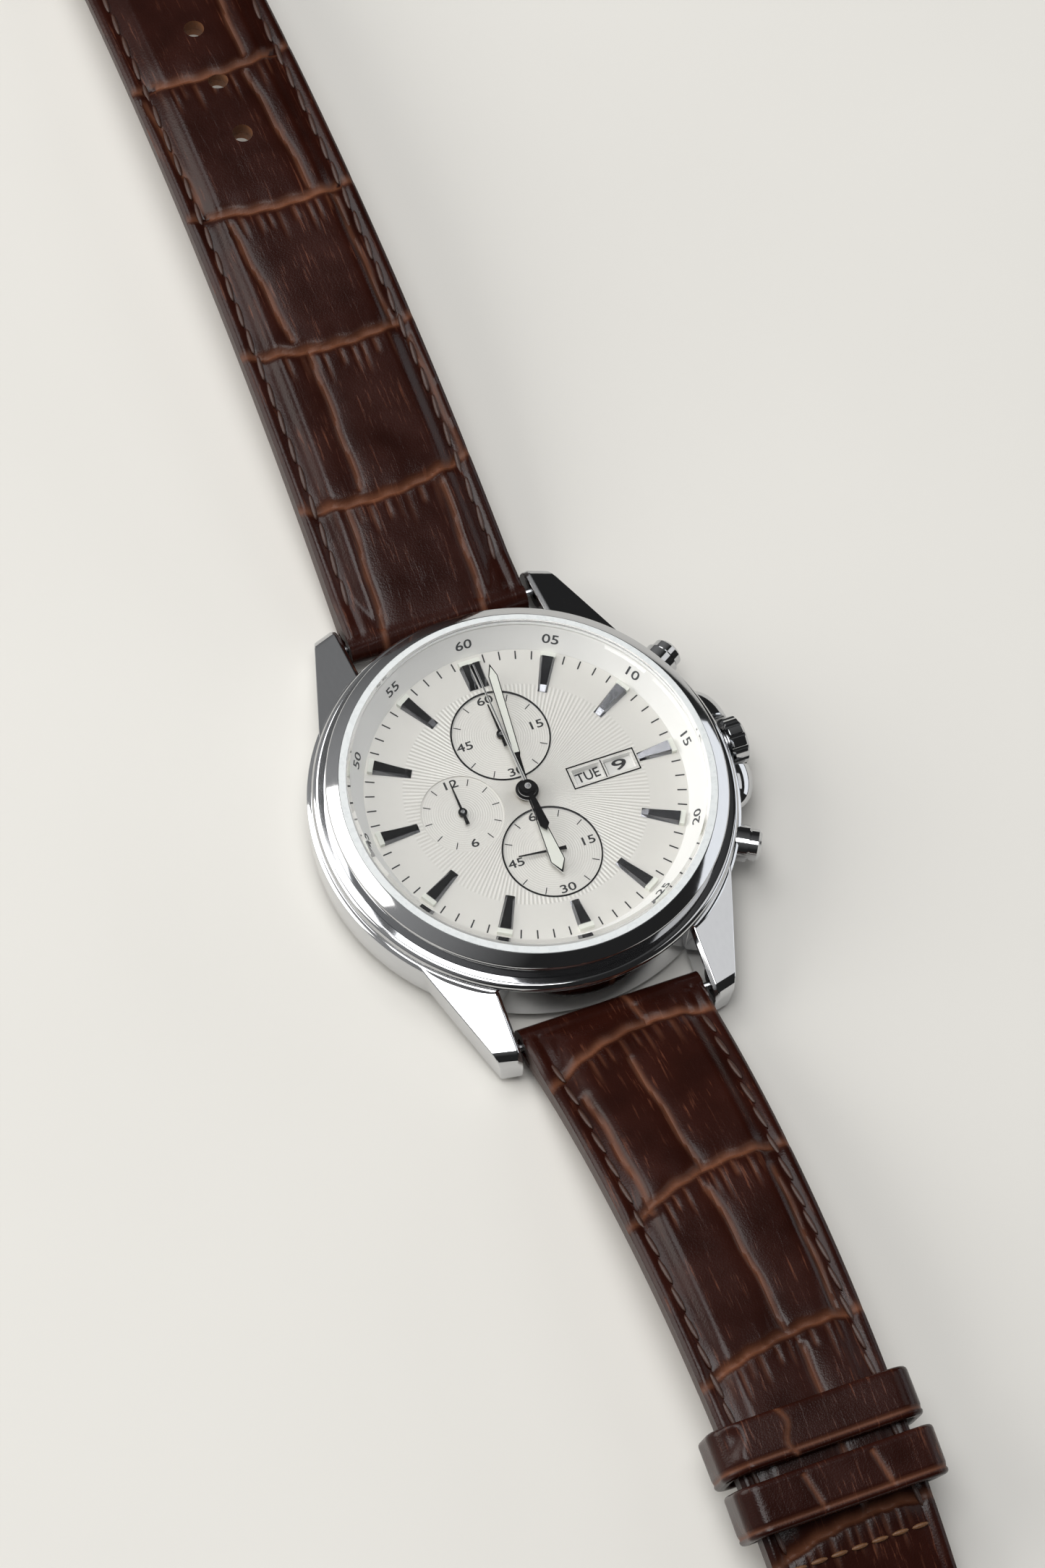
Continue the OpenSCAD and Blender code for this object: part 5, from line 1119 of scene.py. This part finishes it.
tail_leather = upper("tail_leather", tail, TAIL_ROWS)
short_leather = upper("short_leather", short, SHORT_ROWS)
for obj in (tail_leather, short_leather):
    print(obj.name, len(obj.data.polygons), "faces")

# %% [markdown]
# ## The lining
# A thinner, smooth leather is glued under each piece and trimmed with it, and the holes go through
# both. It is the same grid, laid between the underside of the arch and one millimetre above it.

# %% Line the strap and punch the holes
LINING_COLUMNS, LINING_ROWS = 24, 200
LINING_START, TAIL_LINING_END, SHORT_LINING_END = 25.59, 139.9, 91.5
LINING_DROP, LINING_EDGE = 0.2, 0.5
HOLE_R, HOLE_SIDES, PUNCH_LONG = 1.05, 36, 12
SLOT_LONG, SLOT_PUNCH_Z, SLOT_PUNCH_HIGH = 8, 2, 14
NEAR_HOLE, HOLE_LEAN, WALL_LOOK = 1.7, 0.12, 0.55


def lining(name, strap, last):
    obj, points = slab(name, LINING_COLUMNS, LINING_ROWS)
    y = LINING_START + (last - LINING_START) * (points[:, 1] + 1) / 2
    x = points[:, 0] * half_width(strap, y)
    edge = half_width(strap, y) - np.abs(x)
    rounded = LINING_DROP * (1 - np.clip(edge / LINING_EDGE, 0, 1)) ** 2
    z = arch(strap["low"], y) + np.where(points[:, 2] < -0.5, rounded, LINING)
    give_finishes(obj, points, lining_leather)
    return lay(obj, x, strap["sign"] * y, z)


def punch(obj, cutter):
    pick(obj)
    cut = obj.modifiers.new("punch", "BOOLEAN")
    cut.object = cutter
    cut.solver = "MANIFOLD"
    bpy.ops.object.modifier_apply(modifier="punch")


def bare_walls(obj):
    """Gives the punched walls, whose faces look across the punch's way, the raw leather."""
    for face in obj.data.polygons:
        x, y, z = (v / MM for v in face.center)
        if y < 0:
            bare = abs(x) < SLOT_HALF + 0.01 and -y > SLOT_START - 0.01
        else:
            lean = HOLE_LEAN * (arch(tail["top"], y) - z)
            hole = min(HOLES, key=lambda place: abs(place - y + lean))
            bare = math.hypot(x, y - hole) < NEAR_HOLE and abs(x) < HOLE_R + 0.01
        if bare and abs(face.normal.z) < WALL_LOOK:
            face.material_index = 2


tail_lining = lining("tail_lining_leather", tail, TAIL_LINING_END)
short_lining = lining("short_lining_leather", short, SHORT_LINING_END)
pick()
punches = []
for y in HOLES:
    lean = math.asin((y - tail["top"][0]) / tail["top"][2])
    bpy.ops.mesh.primitive_cylinder_add(vertices=HOLE_SIDES, radius=HOLE_R * MM, depth=PUNCH_LONG * MM,
                                        rotation=(-lean, 0, 0),
                                        location=(0, y * MM, arch(tail["top"], y) * MM))
    punches.append(bpy.context.object)
pick(*reversed(punches))
bpy.ops.object.join()
round_punch = bpy.context.object
slot_y = SLOT_START + SLOT_LONG / 2
bpy.ops.mesh.primitive_cube_add(size=1, location=(0, -slot_y * MM, SLOT_PUNCH_Z * MM))
slot_punch = bpy.context.object
slot_punch.scale = (2 * SLOT_HALF * MM, SLOT_LONG * MM, SLOT_PUNCH_HIGH * MM)
bpy.ops.object.transform_apply(location=True, rotation=True, scale=True)
for obj, cutter in ((tail_leather, round_punch), (tail_lining, round_punch), (short_leather, slot_punch),
                    (short_lining, slot_punch)):
    punch(obj, cutter)
    bare_walls(obj)
bpy.data.objects.remove(round_punch)
bpy.data.objects.remove(slot_punch)
print("holes:", len(HOLES))

# %% [markdown]
# The worn mask is written to the mesh as an attribute, once all points are in place. Only the face side
# gets it: the underside of the skin is hidden.

# %% Worn grooves, and what each piece rides on
FACE_ABOVE = 1.5


def write_worn(obj, values):
    layer = obj.data.attributes.new("worn", "FLOAT", "POINT")
    layer.data.foreach_set("value", values.astype(np.float32))


for obj, strap, body, node in ((tail_leather, tail, "tail_strap_group", "tail_upper"),
                               (short_leather, short, "buckle_strap_group", "buckle_strap_upper")):
    x, y, z = (points_of(obj) / MM).T
    y = np.clip(y * strap["sign"], BAR_Y - 2, TIP_Y)
    face_side = z > arch(strap["low"], np.clip(y, BAR_Y, TIP_Y)) + FACE_ABOVE
    write_worn(obj, np.where(face_side, strap_top(strap, x, y)[1], 0))
    dress(obj, body, "leather", node)
dress(tail_lining, "tail_strap_group", "lining", "tail_lining")
dress(short_lining, "buckle_strap_group", "lining", "buckle_strap_lining")
for obj in (tail_leather, tail_lining, short_leather, short_lining):
    pick(obj)
    smooth(35)

# %% [markdown]
# ## Stitching
# A waxed thread runs along both margins and round the pointed tip. Each stitch that shows is a short,
# plump capsule that dips at both ends into its hole. One is modelled, and the others are copies set
# along the margin. A row of finer, paler stitches crosses the short piece beside the buckle.

# %% Sew the margins
STITCH, STEP, SLANT, STITCH_RISE = (0.55, 3.0, 0.44), 3.1, 0.1, 0.1
SEAM_START, TAIL_SEAM_END, SHORT_SEAM_END, TIP_SEAM_START = 28.5, 127, 83, 0.12
CROSS_STITCH, CROSS_Y, CROSS_HALF, CROSS_STEP = (0.5, 1.8, 0.42), 84.2, 6.3, 2.1
pick()
bpy.ops.mesh.primitive_uv_sphere_add(segments=10, ring_count=8, radius=1)
bpy.ops.object.shade_smooth()
stitch = bpy.context.object


def sew(name, strap, seam, size, finish, body):
    """Sets a stitch at each (x, y, heading) along a seam, its heading measured from the strap's length."""
    copies = []
    sign, middle, radius = strap["sign"], strap["margin"][0], strap["margin"][2]
    shape = Matrix.Diagonal((*(length / 2 * MM for length in size), 1))
    for x, y, heading in seam:
        height = float(strap_top(strap, np.array([x]), np.array([y]))[0][0])
        lean = -math.asin((y - middle) / radius)
        spot = Matrix.Translation(Vector((x, sign * y, height + STITCH_RISE)) * MM)
        tilt = Matrix.Rotation(sign * lean, 4, "X") @ Matrix.Rotation(-sign * heading, 4, "Z")
        copy = stitch.copy()
        copy.data = stitch.data.copy()
        scene.collection.objects.link(copy)
        copy.data.transform(spot @ tilt @ shape)
        copies.append(copy)
    joined(name, copies, finish, body, "leather")


def margin_seam(strap, last):
    """Places of the stitches along one margin, up to a distance from the watch's centre."""
    places = np.arange(SEAM_START, last, STEP)
    return [(float(half_width(strap, y)) - STITCH_IN, y) for y in places]


tail_seam, short_seam = [], []
tip_r = TIP_R - STITCH_IN
tip_turns = np.arange(TIP_SEAM_START, math.acos(-TIP_X / tip_r), STEP / tip_r)
for side in (1, -1):
    tail_seam += [(side * x, y, SLANT) for x, y in margin_seam(tail, TAIL_SEAM_END)]
    for a in tip_turns:
        tail_seam.append((side * (TIP_X + tip_r * math.cos(a)), TIP_START + tip_r * math.sin(a), -side * a))
    short_seam += [(side * x, y, SLANT) for x, y in margin_seam(short, SHORT_SEAM_END)]
cross_seam = [(x, CROSS_Y, math.pi / 2) for x in np.arange(-CROSS_HALF, CROSS_HALF + 0.1, CROSS_STEP)]
sew("tail_stitches", tail, tail_seam, STITCH, thread, "tail_strap_group")
sew("short_stitches", short, short_seam, STITCH, thread, "buckle_strap_group")
sew("cross_stitches", short, cross_seam, CROSS_STITCH, tan_thread, "buckle_strap_group")
bpy.data.objects.remove(stitch)

# %% [markdown]
# ## Keepers
# A keeper is a strip of the same leather bent into a flat loop that the strap's end goes through. A
# torus is such a loop already: its long way is laid along a rounded rectangle, and its short way
# becomes the strip's section. A line is pressed along one rim of each. The free keeper shows where its
# ends overlap, and the fixed one has two pressed lines across.

# %% Two leather loops
KEEPER_W, KEEPER_T, KEEPER_ROUND, KEEPER_CLEAR, STRIP_ROUND = 5.0, 1.3, 0.9, 0.3, 0.45
RIM_AT, RIM_WIDE, RIM_DEEP, RIM_WORN = 1.75, 0.16, 0.14, 0.9
OUTER_FACE = (0.2, 0.55)
LAP_X, LAP_WAVE, LAP_STEP, LAP_DROP, LAP_FADE, LAP_WORN = 3.4, 0.35, 0.1, 0.5, (4.2, 5.6), 0.3
CREASE_X, CREASE_LEAN, CREASE_WIDE, CREASE_END, CREASE_DEEP = (-3.2, 3.9), 0.25, 0.22, 1.9, 0.16


def rounded_way(share, half_w, half_h, corner):
    """Place and outward direction at a share of the way round a rounded rectangle."""
    flat_w, flat_h = half_w - corner, half_h - corner
    turn = math.pi / 2 * corner
    spots, looks = [], []
    for s in np.mod(share, 1.0) * (4 * flat_w + 4 * flat_h + 4 * turn):
        for quarter in range(4):
            w, h = (flat_w, flat_h) if quarter % 2 == 0 else (flat_h, flat_w)
            spin = Matrix.Rotation(quarter * math.pi / 2, 2)
            run = 2 * h
            if s <= run:
                spot, look = Vector((w + corner, -h + s)), Vector((1, 0))
                break
            s -= run
            if s <= turn:
                look = Vector((math.cos(s / corner), math.sin(s / corner)))
                spot = Vector((w, h)) + corner * look
                break
            s -= turn
        spots.append(spin @ spot)
        looks.append(spin @ look)
    return np.array(spots), np.array(looks)


def keeper(name, y, over, beneath, free, body, node):
    """A loop round the short piece, with the room over and beneath it that the strap's end needs."""
    pick()
    bpy.ops.mesh.primitive_torus_add(major_segments=220, minor_segments=52, major_radius=2, minor_radius=1)
    obj = bpy.context.object
    obj.name = name
    px, py, pz = points_of(obj).T
    long_share = np.arctan2(py, px) / (2 * math.pi)
    short_share = np.arctan2(pz, np.hypot(px, py) - 2) / (2 * math.pi)
    top = arch(short["top"], y)
    room = top - arch(short["low"], y) + over + beneath
    half = half_width(short, y - KEEPER_W) + KEEPER_CLEAR + KEEPER_T / 2
    spots, looks = rounded_way(long_share, half, room / 2 + KEEPER_T / 2, KEEPER_ROUND + KEEPER_T / 2)
    out, wide = rounded_way(short_share, KEEPER_T / 2, KEEPER_W / 2, STRIP_ROUND)[0].T
    x = spots[:, 0] + looks[:, 0] * out
    z = spots[:, 1] + looks[:, 1] * out
    outer = ease(out, *OUTER_FACE)
    on_top = outer * (z > 0)
    rim = bell(wide - RIM_AT, RIM_WIDE) * outer
    worn, depth = RIM_WORN * rim, RIM_DEEP * rim
    if free:
        seam = x + LAP_X + LAP_WAVE * np.sin(1.6 * wide)
        lap = ease(-seam, -LAP_STEP, LAP_STEP) * on_top
        depth = depth - LAP_DROP * lap * (1 - ease(-seam, *LAP_FADE))
        worn = np.maximum(worn, on_top * bell(seam - LAP_STEP, LAP_WORN))
    else:
        for spot in CREASE_X:
            line = bell(x - spot - CREASE_LEAN * wide, CREASE_WIDE) * on_top * (np.abs(wide) < CREASE_END)
            depth = depth + CREASE_DEEP * line
            worn = np.maximum(worn, line)
    x, z = x - looks[:, 0] * depth, z - looks[:, 1] * depth
    obj.data.vertices.foreach_set("co", np.stack([x, -wide, z], axis=1).ravel())
    write_worn(obj, worn)
    lean = Matrix.Rotation(math.asin((y - short["top"][0]) / short["top"][2]), 4, "X")
    move = Matrix.Translation((0, -y, top)) @ lean @ Matrix.Translation((0, 0, over - room / 2))
    obj.data.transform(Matrix.Scale(MM, 4) @ move)
    bpy.ops.object.mode_set(mode="EDIT")
    tidy_mesh(obj, 0.0005)
    bpy.ops.object.shade_smooth()
    obj.data.materials.append(leather)
    dress(obj, body, "leather", node)


keeper("fixed_keeper_leather", 78.3, 1.9, 0.3, False, "buckle_strap_group", "fixed_keeper")
keeper("free_keeper_leather", 72.4, 0.3, 1.9, True, "free_keeper_group", "free_keeper")
